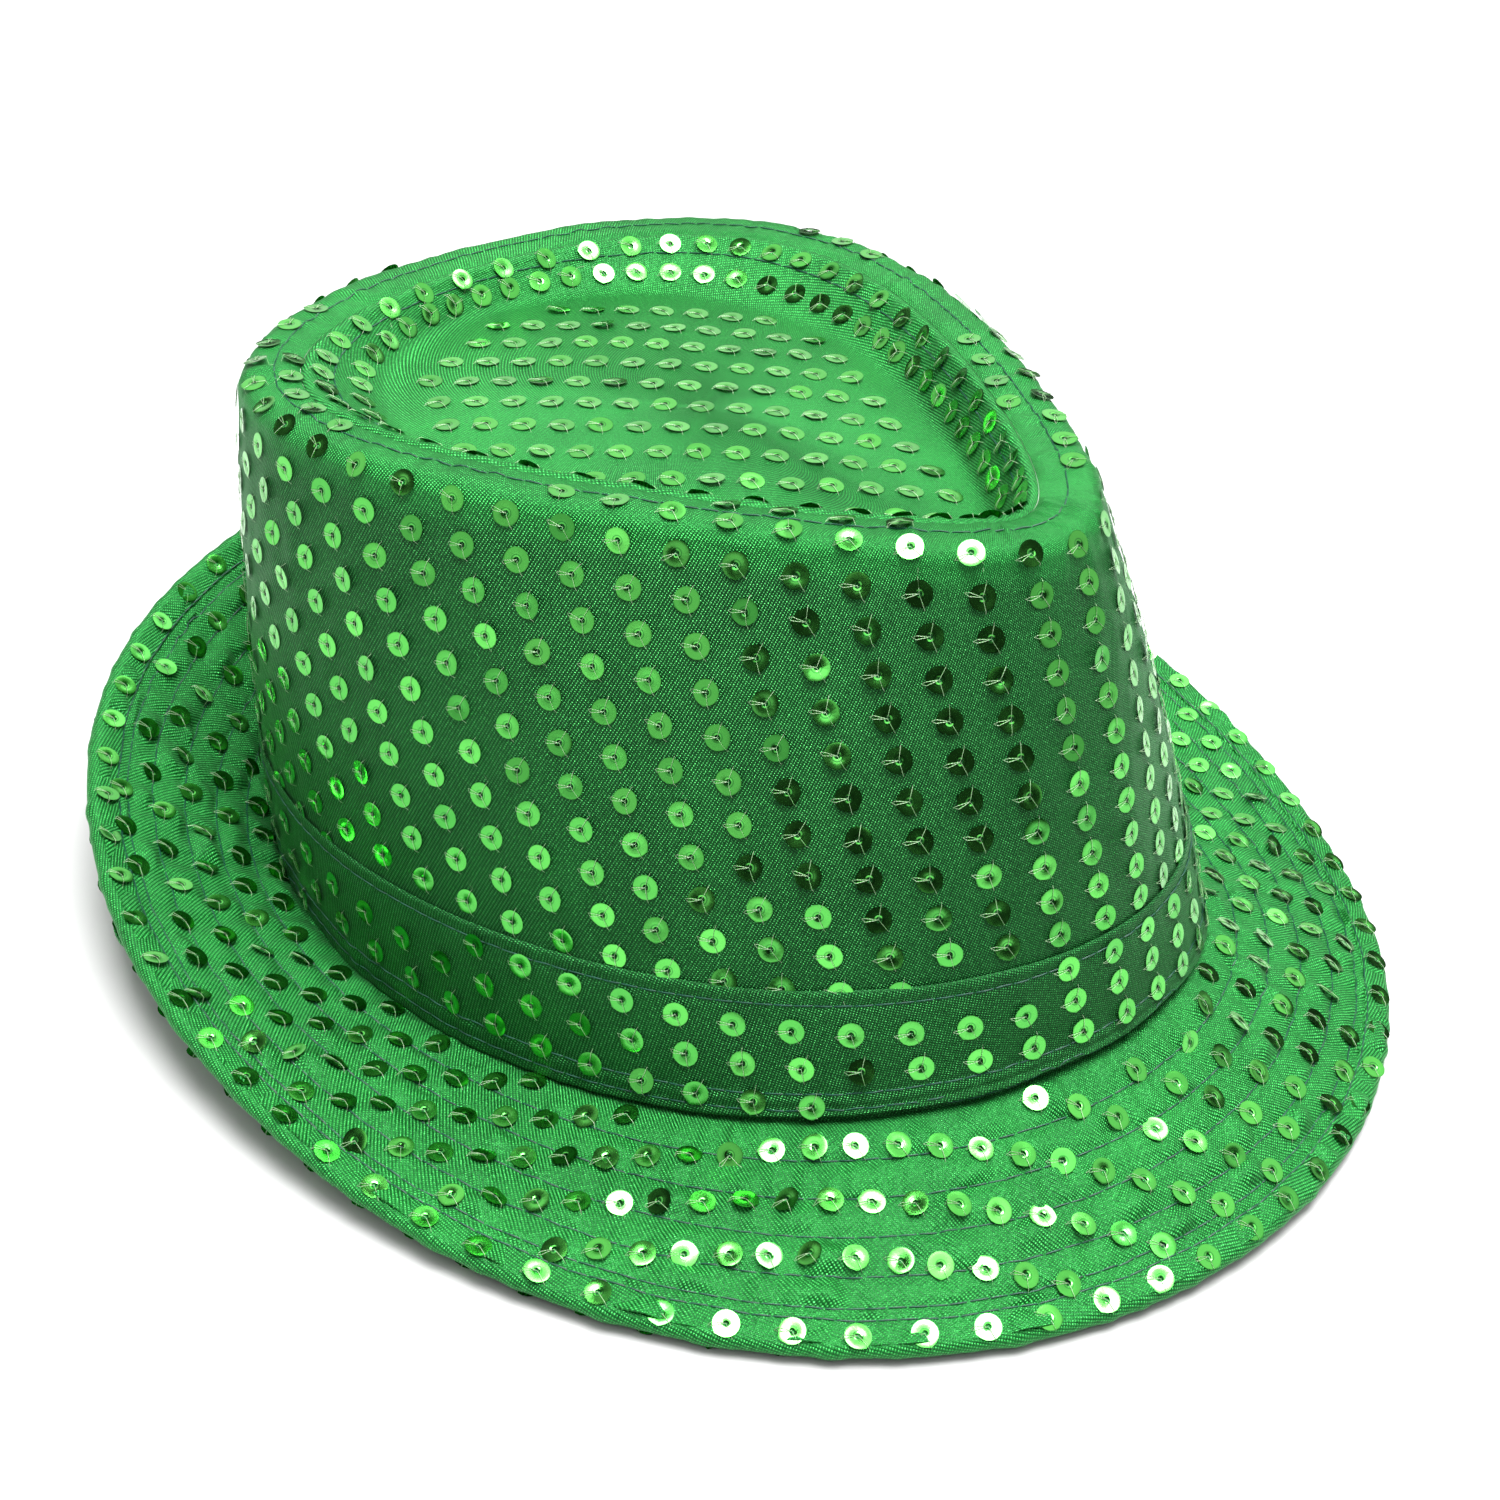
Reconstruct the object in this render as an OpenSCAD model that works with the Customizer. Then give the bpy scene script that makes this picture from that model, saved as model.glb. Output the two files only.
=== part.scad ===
// Short-brim trilby sewn from sequinned satin, for fancy dress.
// Millimetres. Front of the hat towards -Y, wearer's left towards +X, Z up.
// Every sewn layer is a ring of profile points swept round the head, a few steps per turn.
// The hat stands as it would on a table: on the dipped front brim and the back of the opening.

/* [Head opening] */
// front-to-back length of the crown where it meets the brim
crown_base_l = 204; // [185:1:220]
// side-to-side width of the crown where it meets the brim
crown_base_w = 168.5; // [155:1:182]
// how far the opening rises at front and back and dips at the sides
saddle = 5.4; // [0:0.2:8]

/* [Crown] */
// height of the ridge above the brim
crown_h = 101; // [84:1:122]
// length of the teardrop line of stitching round the top
ridge_l = 167; // [150:1:175]
// width of that teardrop, before it narrows to the front
ridge_w = 124.5; // [115:0.5:132]
// how far the teardrop sits towards the back of the head
ridge_shift = 10.5; // [6:0.5:13]
// how strongly the teardrop narrows towards the front
ridge_taper = 0.526; // [0.4:0.01:0.56]
// how far the rounded shoulder stands outside the ridge stitching
shoulder_out = 6.5; // [5.5:0.1:7.5]
// radius of the rounded shoulder
shoulder_r = 3.5; // [3:0.1:4]
// outward swell of the crown side at half height
side_swell = 2.5; // [0:0.1:4]

/* [Dished top] */
// distance from the ridge stitching in to the seam of the top piece
seam_in = 5.1; // [4:0.1:6]
// depth of the seam ditch under the ridge
seam_dip = 0.5; // [0.2:0.1:0.8]
// length of the floor of the dish
floor_l = 143; // [125:1:147]
// width of the floor of the dish, before it narrows to the front
floor_w = 92; // [80:1:95]
// how far the floor sits towards the back
floor_shift = 10; // [8:0.5:12]
// how strongly the floor narrows towards the front
floor_taper = 0.48; // [0.36:0.01:0.5]
// depth of the dish at the front
dish_front = 13; // [10:0.5:18]
// depth of the dish at the back
dish_back = 8.5; // [7:0.5:14]
// rise of the middle of the floor
dish_dome = 3; // [0:0.5:5]

/* [Brim] */
// width of the brim, measured down its slope
brim_w = 43.5; // [36:0.5:53]
// slope of the brim at the sides, up from level
brim_side_angle = 10; // [5:1:15]
// extra slope down at the front and up at the back
brim_swing = 40; // [30:1:44]
// first row of brim stitching, out from the crown
brim_row_start = 7.6; // [6:0.1:9]
// spacing of the four main rows
brim_row_step = 7.4; // [6:0.1:8]
// distance of the last row inside the binding
brim_row_edge = 1.9; // [1.4:0.1:2.5]
// width of the edge binding on each face
binding_w = 6.2; // [5:0.1:8]

/* [Band and sweatband] */
// height of the outer hat band
band_h = 25; // [20:1:38]
// height of the sweatband inside
sweatband_h = 30; // [24:1:35]
// thickness of the sweatband
sweatband_t = 1.2; // [0.8:0.1:1.6]

/* [Cloth thicknesses] */
// sequinned satin, with its backing
satin_t = 0.5; // [0.4:0.05:0.6]
// stiff interlining of the crown
crown_stiffener_t = 1; // [0.6:0.1:1.2]
// stiff interlining of the brim
brim_stiffener_t = 1.2; // [0.8:0.1:1.6]
// thin lining cloth
lining_t = 0.3; // [0.2:0.05:0.4]
// gap left between two sewn layers
ply_gap = 0.05; // [0.03:0.01:0.08]

/* [Sequins and thread] */
// sequin diameter
sequin_d = 4.8; // [4:0.1:5.2]
// hole in the middle of a sequin
sequin_hole_d = 1; // [0.8:0.1:1.2]
// sequin thickness
sequin_t = 0.15; // [0.1:0.01:0.2]
// spacing of sequins along one thread
sequin_step = 7.4; // [7:0.1:12]
// spacing of the threads
thread_step = 9.9; // [9.4:0.1:14]
// how far each column on the crown starts lower than the one before it
column_drop = 0.6; // [0:0.1:3]
// lean of the columns on the crown: how far round they move for each unit they fall
column_lean = 0.3; // [0:0.05:0.4]
// thickness of the sewing thread
thread_d = 0.3; // [0.2:0.01:0.34]
// length of one stitch and the space after it
stitch_step = 3.6; // [3:0.1:5]
// visible length of one stitch
stitch_l = 2.7; // [2:0.1:2.9]

/* [Hidden] */
steps = 48; // panels round the head
turn = 360 / steps; // degrees per panel
ring_angles = [for (i = [0 : steps - 1]) i * turn];
base = [crown_base_l, crown_base_w, 0, -0.11, 0.12];
ridge = [ridge_l, ridge_w, ridge_shift, -ridge_taper, 0.056];
floor_line = [floor_l, floor_w, floor_shift, -floor_taper, -0.1];
shoulder_mid = shoulder_out - shoulder_r;
band_t = satin_t + 0.3; // satin folded over at its edges
brim_root = band_t + 8 * ply_gap; // the brim starts to slope just outside the band
crown_stiffener_out = -satin_t - ply_gap;
lining_out = crown_stiffener_out - crown_stiffener_t - ply_gap;
sweatband_out = lining_out - lining_t - 9 * ply_gap;
flange_in = sweatband_out - sweatband_t - 3 * ply_gap; // inner edge of the brim
brim_core_top = -satin_t - ply_gap;
brim_under_top = brim_core_top - brim_stiffener_t - ply_gap;
brim_bottom = brim_under_top - satin_t;
binding_t = 0.5;
binding_edge = 1.6; // the covered plies stop this far inside the bound edge
brim_row_last = brim_w - binding_w - brim_row_edge;
ditch_row = binding_w - 0.5; // stitching that holds the binding, in from the edge
thread_clear = 0.15; // straight stitches clear the corners between panels
sequin_clear = 0.05 + sequin_d / 15; // sequins clear the stitches they lie over
stitch_rise = thread_d / 2 + thread_clear; // thread axis above the cloth
sequin_rise = thread_d + thread_clear + sequin_clear; // underside of a sequin above the cloth
edge_clear = sequin_d / 2 + 0.4; // nearest a sequin's middle comes to a seam
front_column = -37.6; // degrees round from the front of the column the rest are laid from
column_gap = thread_step * sqrt(1 + column_lean * column_lean); // level distance between columns
column_step = sequin_step / sqrt(1 + column_lean * column_lean); // height between its sequins
column_start = 2.7; // height at which that column's sequins are counted from

satin = [0.16, 0.62, 0.25];
sequin_green = [0.35, 0.8, 0.35];
stiffener = [0.9, 0.9, 0.86];
lining_green = [0.1, 0.35, 0.17];
thread = [0.03, 0.3, 0.2];

// ---- lines round the head ----

// a point at angle a on an egg-shaped line: [length, width, shift, taper, squareness]
function oval(o, a) = [
    o[1] / 2 * sin(a) * (1 + o[3] * cos(a) + o[4] * pow(cos(a), 2)),
    o[2] - o[0] / 2 * cos(a)];

function unit(v) = v / norm(v);

// the level direction straight out of the line at angle a
function outward(o, a) =
    let (d = oval(o, a + 1) - oval(o, a - 1))
    unit([d[1], -d[0]]);

function beside(o, a, out) = oval(o, a) + out * outward(o, a);

function base_z(a) = saddle * cos(2 * a);

// share of the crown side taken up by a height above the brim
function side_share(h) = h / (crown_h - shoulder_r);

// crown side: t runs 0 at the brim to 1 at the shoulder
function wall(a, t, out) =
    let (n = unit((1 - t) * outward(base, a) + t * outward(ridge, a)),
        p = (1 - t) * oval(base, a) + t * beside(ridge, a, shoulder_out)
            + (side_swell * 4 * t * (1 - t) + out) * n)
    [p[0], p[1], (1 - t) * (base_z(a) + ply_gap) + t * (crown_h - shoulder_r)];

// rounded shoulder: b runs 0 at the top of the side to 90 on top of the ridge
function shoulder(a, b, out) =
    let (p = beside(ridge, a, shoulder_mid + (shoulder_r + out) * cos(b)))
    [p[0], p[1], crown_h - shoulder_r + (shoulder_r + out) * sin(b)];

// flat top of the ridge, from the shoulder in to the seam
function ridge_top(a, inset, out) =
    let (p = beside(ridge, a, -inset), dip = seam_dip * max(0, inset / seam_in))
    [p[0], p[1], crown_h - dip + out];

function dish_depth(a) = (dish_front + dish_back) / 2 + (dish_front - dish_back) / 2 * cos(a);

// wall of the dish: t runs 0 at its rolled edge to 1 at the floor
function dish_wall(a, t, down) =
    let (top = beside(ridge, a, -seam_in - 1.8 + down / 2), foot = beside(floor_line, a, down / 2),
        p = (1 - t) * top + t * foot)
    [p[0], p[1], crown_h - 0.3 - down - t * (dish_depth(a) - 0.3)];

// floor of the dish: r runs 0 in the middle to 1 at its edge
function dish_floor(a, r, down) =
    let (middle = [0, floor_shift + 4], p = middle + r * (beside(floor_line, a, down / 2) - middle),
        depth = (dish_front + dish_back) / 2 + (dish_front - dish_back) / 2 * r * cos(a))
    [p[0], p[1], crown_h - depth + dish_dome * (1 - r * r) - down];

function brim_angle(a) = brim_side_angle - brim_swing * cos(a);

// brim: d is the distance out from the crown, h the height over its top face
function brim(a, d, h) =
    d < 0 ?
        let (p = beside(base, a, brim_root + d))
        [p[0], p[1], base_z(a) + h]
    : let (f = brim_angle(a) * (d == 0 ? 0.5 : 1), k = d == 0 ? h / cos(f) : h,
        p = beside(base, a, brim_root + d * cos(f) - k * sin(f)))
        [p[0], p[1], base_z(a) + d * sin(f) + k * cos(f)];

// ---- how it stands ----

rim_points = [[brim_w, (brim_bottom) / 2], [brim_w - 0.4, brim_bottom - 0.1],
    [brim_w - 1.2, brim_bottom - binding_t - ply_gap], [brim_w - 0.4, 0.1]];
rim_low = [for (i = [0 : steps - 1]) for (k = rim_points) brim(i * turn, k[0], k[1])];
root_low = [for (i = [0 : steps - 1]) brim(i * turn, 0, brim_bottom)];

function lowest(pts, slope) = min([for (p = pts) p[2] - slope * p[1]]);

// slope of the table under the level hat, halving the range until rim and opening both touch
function table_slope(lo, hi, tries) =
    let (mid = (lo + hi) / 2)
    tries == 0 ? mid
    : lowest(rim_low, mid) < lowest(root_low, mid) ? table_slope(mid, hi, tries - 1)
    : table_slope(lo, mid, tries - 1);

stand_slope = table_slope(-0.3, 0.5, 24);
stand_angle = atan(stand_slope);
stand_lift = -min(lowest(rim_low, stand_slope), lowest(root_low, stand_slope)) * cos(stand_angle);
rim_y = [for (p = rim_low) p[1] * cos(stand_angle) + p[2] * sin(stand_angle)];
stand_shift = -(min(rim_y) + max(rim_y)) / 2;

module standing() {
    translate([0, stand_shift, stand_lift])
        rotate([-stand_angle, 0, 0])
            children();
}

// ---- solids from rows of points ----

// whether q lies further out or higher than p, which decides how a panel is split in two,
// so that plies lying against each other are split alike
function goes_out(p, q) = norm([q[0], q[1]]) - norm([p[0], p[1]]) + q[2] - p[2] > 0;

// the two triangles of the panel between steps i and j, points k and m of their sections
function panel(sections, i, k, m) =
    let (rows = len(sections[0]), j = (i + 1) % steps,
        p = i * rows + k, q = j * rows + k, r = j * rows + m, s = i * rows + m)
    goes_out(sections[i][k], sections[i][m]) ? [[p, q, r], [p, r, s]] : [[p, q, s], [q, r, s]];

// a closed ring whose section at each step is the given list of points
module swept_ring(sections) {
    rows = len(sections[0]);
    polyhedron(
        points = [for (s = sections) for (p = s) p],
        faces = [for (i = [0 : steps - 1])
            for (k = [0 : rows - 1])
                for (f = panel(sections, i, k, (k + 1) % rows))
                    f]);
}

// a dished plate: rows run from the middle of the top, out, and back to the middle underneath
module swept_plate(sections, top_middle, bottom_middle) {
    rows = len(sections[0]);
    count = steps * rows;
    polyhedron(
        points = concat([for (s = sections) for (p = s) p], [top_middle, bottom_middle]),
        faces = concat(
            [for (i = [0 : steps - 1])
                for (k = [0 : rows - 2])
                    for (f = panel(sections, i, k, k + 1))
                        f],
            [for (i = [0 : steps - 1]) [count, ((i + 1) % steps) * rows, i * rows]],
            [for (i = [0 : steps - 1])
                [count + 1, i * rows + rows - 1, ((i + 1) % steps) * rows + rows - 1]]));
}

// the point of a panelled surface at angle a and level v, on the panels themselves;
// sheet gives the corners at whole steps and at the listed levels
function on_panels(sheet, levels, a, v) =
    let (i = floor(a / turn), f = a / turn - i,
        k = max([for (n = [0 : len(levels) - 2]) v >= levels[n] || n == 0 ? n : 0]),
        g = (v - levels[k]) / (levels[k + 1] - levels[k]),
        p = sheet(i * turn, levels[k]), q = sheet((i + 1) * turn, levels[k]),
        r = sheet((i + 1) * turn, levels[k + 1]), s = sheet(i * turn, levels[k + 1]))
    goes_out(p, s) ? (f > g ? p + f * (q - p) + g * (r - q) : p + g * (s - p) + f * (r - s))
    : (f + g < 1 ? p + f * (q - p) + g * (s - p) : r + (1 - f) * (s - r) + (1 - g) * (q - r));

// square to those panels, out of the cloth where levels run upwards or outwards
function panel_normal(sheet, levels, a, v, dv) =
    cross(on_panels(sheet, levels, a + 0.4, v) - on_panels(sheet, levels, a - 0.4, v),
        on_panels(sheet, levels, a, v + dv) - on_panels(sheet, levels, a, v - dv));

// heights at which the crown side has a ring of points, as shares of the whole side
wall_levels = [0, side_share(band_h), (1 + side_share(band_h)) / 2, 1];

// one thickness of the crown side, from the brim over the shoulder, and on to the seam if asked
module crown_side_ply(outer, thickness, to_seam) {
    inner = outer - thickness;
    seam = seam_in - ply_gap;
    swept_ring([for (i = [0 : steps - 1])
        let (a = i * turn)
        concat(
            [for (t = wall_levels) wall(a, t, outer)],
            [for (b = [45, 90]) shoulder(a, b, outer)],
            to_seam ? [ridge_top(a, seam, outer), ridge_top(a, seam, inner)] : [],
            [for (b = [90, 45]) shoulder(a, b, inner)],
            [for (n = [1 : len(wall_levels)]) wall(a, wall_levels[len(wall_levels) - n], inner)])]);
}

// one thickness of the top piece, from its rim down the dish and across its floor;
// rim lists insets from the ridge stitching, innermost first
module tip_ply(depth, thickness, rim) {
    under = depth + thickness;
    swept_plate(
        [for (i = [0 : steps - 1])
            let (a = i * turn)
            concat(
                [dish_floor(a, 0.55, depth)],
                [dish_wall(a, 1, depth), dish_wall(a, 0.5, depth), dish_wall(a, 0, depth)],
                [for (inset = rim) ridge_top(a, inset, -depth)],
                [for (n = [1 : len(rim)]) ridge_top(a, rim[len(rim) - n], -under)],
                [dish_wall(a, 0, under), dish_wall(a, 0.5, under), dish_wall(a, 1, under)],
                [dish_floor(a, 0.55, under)])],
        dish_floor(0, 0, depth), dish_floor(0, 0, under));
}

// distances out from the crown at which the brim has a ring of points
brim_levels = [flange_in - brim_root, 0, (brim_w - binding_w) / 2, brim_w - binding_w,
    brim_w - binding_edge];

// one thickness of the brim, from under the crown to just inside its bound edge
module brim_ply(top, thickness) {
    last = len(brim_levels) - 1;
    swept_ring([for (i = [0 : steps - 1])
        concat(
            [for (k = [0 : last]) brim(i * turn, brim_levels[k], top - thickness)],
            [for (k = [0 : last]) brim(i * turn, brim_levels[last - k], top)])]);
}

// ---- sequins and stitches ----

// turns the Z axis onto n and moves to p
module placed(p, n) {
    translate(p)
        rotate([0, acos(n[2] / norm(n)), atan2(n[1], n[0])])
            children();
}

module sequin() {
    rotate_extrude()
        translate([sequin_hole_d / 2, 0])
            square([(sequin_d - sequin_hole_d) / 2, sequin_t]);
}

// one straight stitch in the middle of the way from p to q
module stitch(p, q) {
    way = q - p;
    placed((p + q) / 2 - unit(way) * stitch_l / 2, way)
        cylinder(h = stitch_l, d = thread_d);
}

function ring_length(pts, i = 0, sum = 0) =
    i == len(pts) - 1 ? [sum]
    : concat([sum], ring_length(pts, i + 1, sum + norm(pts[i + 1] - pts[i])));

// [distance along the line, angle] pairs, measured from angle start
function travel(pts, angles) =
    let (far = ring_length(pts))
    [for (i = [0 : len(pts) - 1]) [far[i], angles[i]]];

// stitches along a closed line on a panelled surface, at one level
module stitch_line(sheet, levels, v) {
    way = travel([for (a = turn_angles) on_panels(sheet, levels, a, v)], turn_angles);
    total = way[steps][0];
    count = floor(total / stitch_step);
    for (i = [0 : count - 1]) {
        a0 = lookup(total * i / count, way);
        a1 = lookup(total * (i + 1) / count, way);
        stitch(on_panels(sheet, levels, a0, v), on_panels(sheet, levels, a1, v));
    }
}

turn_angles = [for (i = [0 : steps]) i * turn]; // once round, with the start again at the end

module brim_stitch_row(d) {
    stitch_line(function(a, v) brim(a, v, stitch_rise), brim_levels, d);
}

module wall_stitch_row(h, out) {
    stitch_line(function(a, v) wall(a, v, out), wall_levels, side_share(h));
}

// the crown side is laid out from the back seam, round the front and back to the seam
side_angles = [for (i = [0 : steps]) i * turn - 180];
side_levels = [0, 0.2, 0.4, 0.6, 0.8, 1];
side_travel = [for (t = side_levels)
    travel([for (a = side_angles) wall(a, t, 0)], side_angles)];
side_straight = [for (way = side_travel) lookup(front_column, [for (w = way) [w[1], w[0]]])];
side_total = [for (way = side_travel) way[steps][0]];

// a value listed per level, read off at height share t
function at_level(values, t) =
    let (u = t * (len(side_levels) - 1), i = min(floor(u), len(side_levels) - 2), f = u - i)
    (1 - f) * values[i] + f * values[i + 1];

// angle round the crown that lies s along the cloth from the straight column, at height share t
function side_angle(s, t) =
    at_level([for (i = [0 : len(side_levels) - 1])
        lookup(side_straight[i] + s, side_travel[i])], t);

// sequins on the crown side between two heights, lying out over the cloth by lift
module side_sequins(h_low, h_high, lift) {
    columns = ceil(side_total[0] / column_gap);
    for (k = [-columns : columns]) {
        first = column_start - column_drop * k;
        n_low = ceil((h_low - first) / column_step);
        n_high = floor((h_high - first) / column_step);
        for (n = [n_low : 1 : n_high]) {
            h = first + n * column_step;
            t = side_share(h);
            s = k * column_gap + column_lean * (crown_h / 2 - h);
            from_seam = at_level(side_straight, t) + s;
            if (from_seam > edge_clear && from_seam < at_level(side_total, t) - edge_clear) {
                a = side_angle(s, t);
                sheet = function(a, v) wall(a, v, lift + sequin_rise);
                placed(on_panels(sheet, wall_levels, a, t),
                    panel_normal(sheet, wall_levels, a, t, 0.01))
                    sequin();
            }
        }
    }
}

// lattice of sewn sequins on flat-cut cloth; the threads run towards cloth_angle
cloth_angle = -45;
row_stagger = 0.6 * sequin_step; // every second row is moved along by this much

function lattice(i, j) =
    let (u = i * sequin_step + (j % 2) * row_stagger, v = j * thread_step)
    [u * cos(cloth_angle) - v * sin(cloth_angle), u * sin(cloth_angle) + v * cos(cloth_angle)];

// one step from angle a towards the angle at which the crown line is nearest to plan point p
function nearer_angle(p, a) =
    let (q = oval(base, a), t = oval(base, a + 1) - oval(base, a - 1),
        slip = (p - q) * t / (t * t) * 2)
    a + 0.6 * slip; // held back, since a point out on the brim would make a full step overshoot

function nearest_angle(p, a, tries) =
    tries == 0 ? a : nearest_angle(p, nearer_angle(p, a), tries - 1);

function start_angle(p) = atan2(p[0] / crown_base_w, -p[1] / crown_base_l);

// sequins on one face of the brim; side is 1 for the top and -1 for the underside
module brim_face_sequins(side) {
    face = side > 0 ? sequin_rise : brim_bottom - sequin_rise;
    reach = ceil((crown_base_l / 2 + brim_w) / sequin_step) + 1;
    for (i = [-reach : reach])
        for (j = [-reach : reach]) {
            p = lattice(i, j);
            a = nearest_angle(p, start_angle(p), 9);
            level = (p - oval(base, a)) * outward(base, a) - brim_root;
            d = level / cos(brim_angle(a));
            if (d > edge_clear && d < brim_w - binding_w - edge_clear)
                brim_sequin(a, d, face, side);
        }
}

// one sequin on a face of the brim
module brim_sequin(a, d, face, side) {
    sheet = function(a, v) brim(a, v, face);
    placed(on_panels(sheet, brim_levels, a, d),
        side * panel_normal(sheet, brim_levels, a, d, 0.5))
        sequin();
}

// ---- the pieces ----

module side_crown_fabric() {
    color(satin)
        standing()
            crown_side_ply(0, satin_t, true);
}

module side_crown_interlining() {
    color(stiffener)
        standing()
            crown_side_ply(crown_stiffener_out, crown_stiffener_t, false);
}

module side_crown_lining() {
    color(lining_green)
        standing()
            crown_side_ply(lining_out, lining_t, true);
}

module tip_fabric() {
    color(satin)
        standing()
            tip_ply(0, satin_t, [seam_in + ply_gap]);
}

// the stiffener of the top reaches out over the ridge to the shoulder
module tip_interlining() {
    color(stiffener)
        standing()
            tip_ply(-crown_stiffener_out, crown_stiffener_t,
                [seam_in + ply_gap, ply_gap - shoulder_mid]);
}

module tip_lining() {
    color(lining_green)
        standing()
            tip_ply(-lining_out, lining_t, [seam_in + ply_gap]);
}

// a strip of satin round the foot of the crown
module hat_band() {
    high = side_share(band_h);
    outer = ply_gap + band_t;
    color(satin)
        standing()
            swept_ring([for (a = ring_angles)
                [wall(a, 0, ply_gap), wall(a, 0, outer), wall(a, high, outer),
                    wall(a, high, ply_gap)]]);
}

module brim_upper_fabric() {
    color(satin)
        standing()
            brim_ply(0, satin_t);
}

module brim_interlining() {
    color(stiffener)
        standing()
            brim_ply(brim_core_top, brim_stiffener_t);
}

module brim_lower_fabric() {
    color(satin)
        standing()
            brim_ply(brim_under_top, satin_t);
}

// satin strip folded round the brim edge
module brim_edge_binding() {
    top = ply_gap + binding_t;
    bottom = brim_bottom - ply_gap - binding_t;
    middle = brim_bottom / 2;
    section = [[brim_w - binding_w, top], [brim_w - 1.2, top], [brim_w - 0.4, 0.1],
        [brim_w, middle], [brim_w - 0.4, brim_bottom - 0.1], [brim_w - 1.2, bottom],
        [brim_w - binding_w, bottom], [brim_w - binding_w, brim_bottom - ply_gap],
        [brim_w - 1.3, brim_bottom - ply_gap], [brim_w - 0.7, middle], [brim_w - 1.3, ply_gap],
        [brim_w - binding_w, ply_gap]];
    color(satin)
        standing()
            swept_ring([for (i = [0 : steps - 1])
                [for (k = [len(section) - 1 : -1 : 0])
                    brim(i * turn, section[k][0], section[k][1])]]);
}

module sweatband() {
    high = side_share(sweatband_h);
    inner = sweatband_out - sweatband_t;
    levels = concat([for (t = wall_levels) if (t < high - 0.01) t], [high]);
    last = len(levels) - 1;
    color(lining_green)
        standing()
            swept_ring([for (a = ring_angles)
                concat(
                    [for (k = [0 : last]) wall(a, levels[k], inner)],
                    [for (k = [0 : last]) wall(a, levels[last - k], sweatband_out)])]);
}

// small blank tab sewn to the sweatband at the back
module care_label() {
    label_w = 20;
    label_h = 16;
    label_t = 0.2;
    inner = sweatband_out - sweatband_t - ply_gap;
    low = wall(180 - turn, 0, inner);
    high = wall(180 - turn, side_share(sweatband_h), inner);
    middle = (low + high) / 2;
    color("white")
        standing()
            translate([0, middle[1], middle[2]])
                rotate([90 - atan2(high[1] - low[1], high[2] - low[2]), 0, 0])
                    translate([-label_w / 2, -label_h / 2, 0])
                        cube([label_w, label_h, label_t]);
}

module ridge_topstitching() {
    color(thread)
        standing()
            stitch_line(function(a, v) ridge_top(a, v, stitch_rise), [-shoulder_mid, seam_in], 0);
}

// row round the wall of the dish, just under its rolled edge
module tip_topstitching() {
    down = 0.3;
    color(thread)
        standing()
            stitch_line(function(a, v) dish_wall(a, v, -1.6 * stitch_rise), [0, 0.5, 1], down);
}

module band_top_stitching() {
    inset = 2.4;
    color(thread)
        standing()
            wall_stitch_row(band_h - inset, ply_gap + band_t + stitch_rise);
}

// the two rows near the foot of the band
module band_lower_stitching() {
    color(thread)
        standing()
            for (h = [2.6, 5.8])
                wall_stitch_row(h, ply_gap + band_t + stitch_rise);
}

module brim_stitch_row_1() {
    color(thread)
        standing()
            brim_stitch_row(brim_row_start);
}

module brim_stitch_row_2() {
    color(thread)
        standing()
            brim_stitch_row(brim_row_start + brim_row_step);
}

module brim_stitch_row_3() {
    color(thread)
        standing()
            brim_stitch_row(brim_row_start + 2 * brim_row_step);
}

module brim_stitch_row_4() {
    color(thread)
        standing()
            brim_stitch_row(brim_row_start + 3 * brim_row_step);
}

module brim_stitch_row_5() {
    color(thread)
        standing()
            brim_stitch_row(brim_row_last);
}

module binding_stitching() {
    color(thread)
        standing()
            stitch_line(function(a, v) brim(a, v, ply_gap + binding_t + stitch_rise),
                brim_levels, brim_w - ditch_row);
}

// holds the sweatband in place near its lower edge
module sweatband_stitching() {
    height = 3;
    color(thread)
        standing()
            stitch_line(function(a, v) wall(a, v, sweatband_out - sweatband_t - stitch_rise),
                [0, side_share(sweatband_h)], side_share(height));
}

module side_crown_sequins() {
    color(sequin_green)
        standing()
            side_sequins(band_h + edge_clear, crown_h - shoulder_r - 1, 0);
}

module band_sequins() {
    color(sequin_green)
        standing()
            side_sequins(edge_clear + 1, band_h - edge_clear, ply_gap + band_t);
}

// rows across the floor of the dish, and one row round its wall
module tip_sequins() {
    reach = ceil(floor_l / 2 / sequin_step) + 1;
    middle = [0, floor_shift + 4];
    wall_t = 0.66;
    ring_pts = [for (a = turn_angles) dish_wall(a, wall_t, 0)];
    way = travel(ring_pts, turn_angles);
    total = way[steps][0];
    count = floor(total / sequin_step);
    color(sequin_green)
        standing() {
            for (i = [-reach : reach])
                for (j = [-reach : reach]) {
                    p = lattice(i, j);
                    a = atan2(p[0] / floor_w, -p[1] / floor_l);
                    edge = floor_edge(p, a, 8);
                    if (edge < 1 - edge_clear / (floor_w * 0.4))
                        placed(floor_at(p, edge), [0, 0, 1])
                            sequin();
                }
            for (k = [1 : count - 2]) {
                a = lookup(total * (k + 0.5) / count, way);
                out = -sequin_rise;
                if (a > 24 && a < 336)
                    placed(dish_wall(a, wall_t, out * 1.4), dish_normal(a, wall_t))
                        sequin();
            }
        }
}

// how far out a plan point lies, as a share of the way from the middle to the floor's edge
function floor_edge(p, a, tries) =
    let (e = oval(floor_line, a) - [0, floor_shift + 4], miss = atan2(e[0], -e[1]) - atan2(p[0], -p[1]))
    tries == 0 ? norm(p) / norm(e) : floor_edge(p, a - miss * 0.7, tries - 1);

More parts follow.
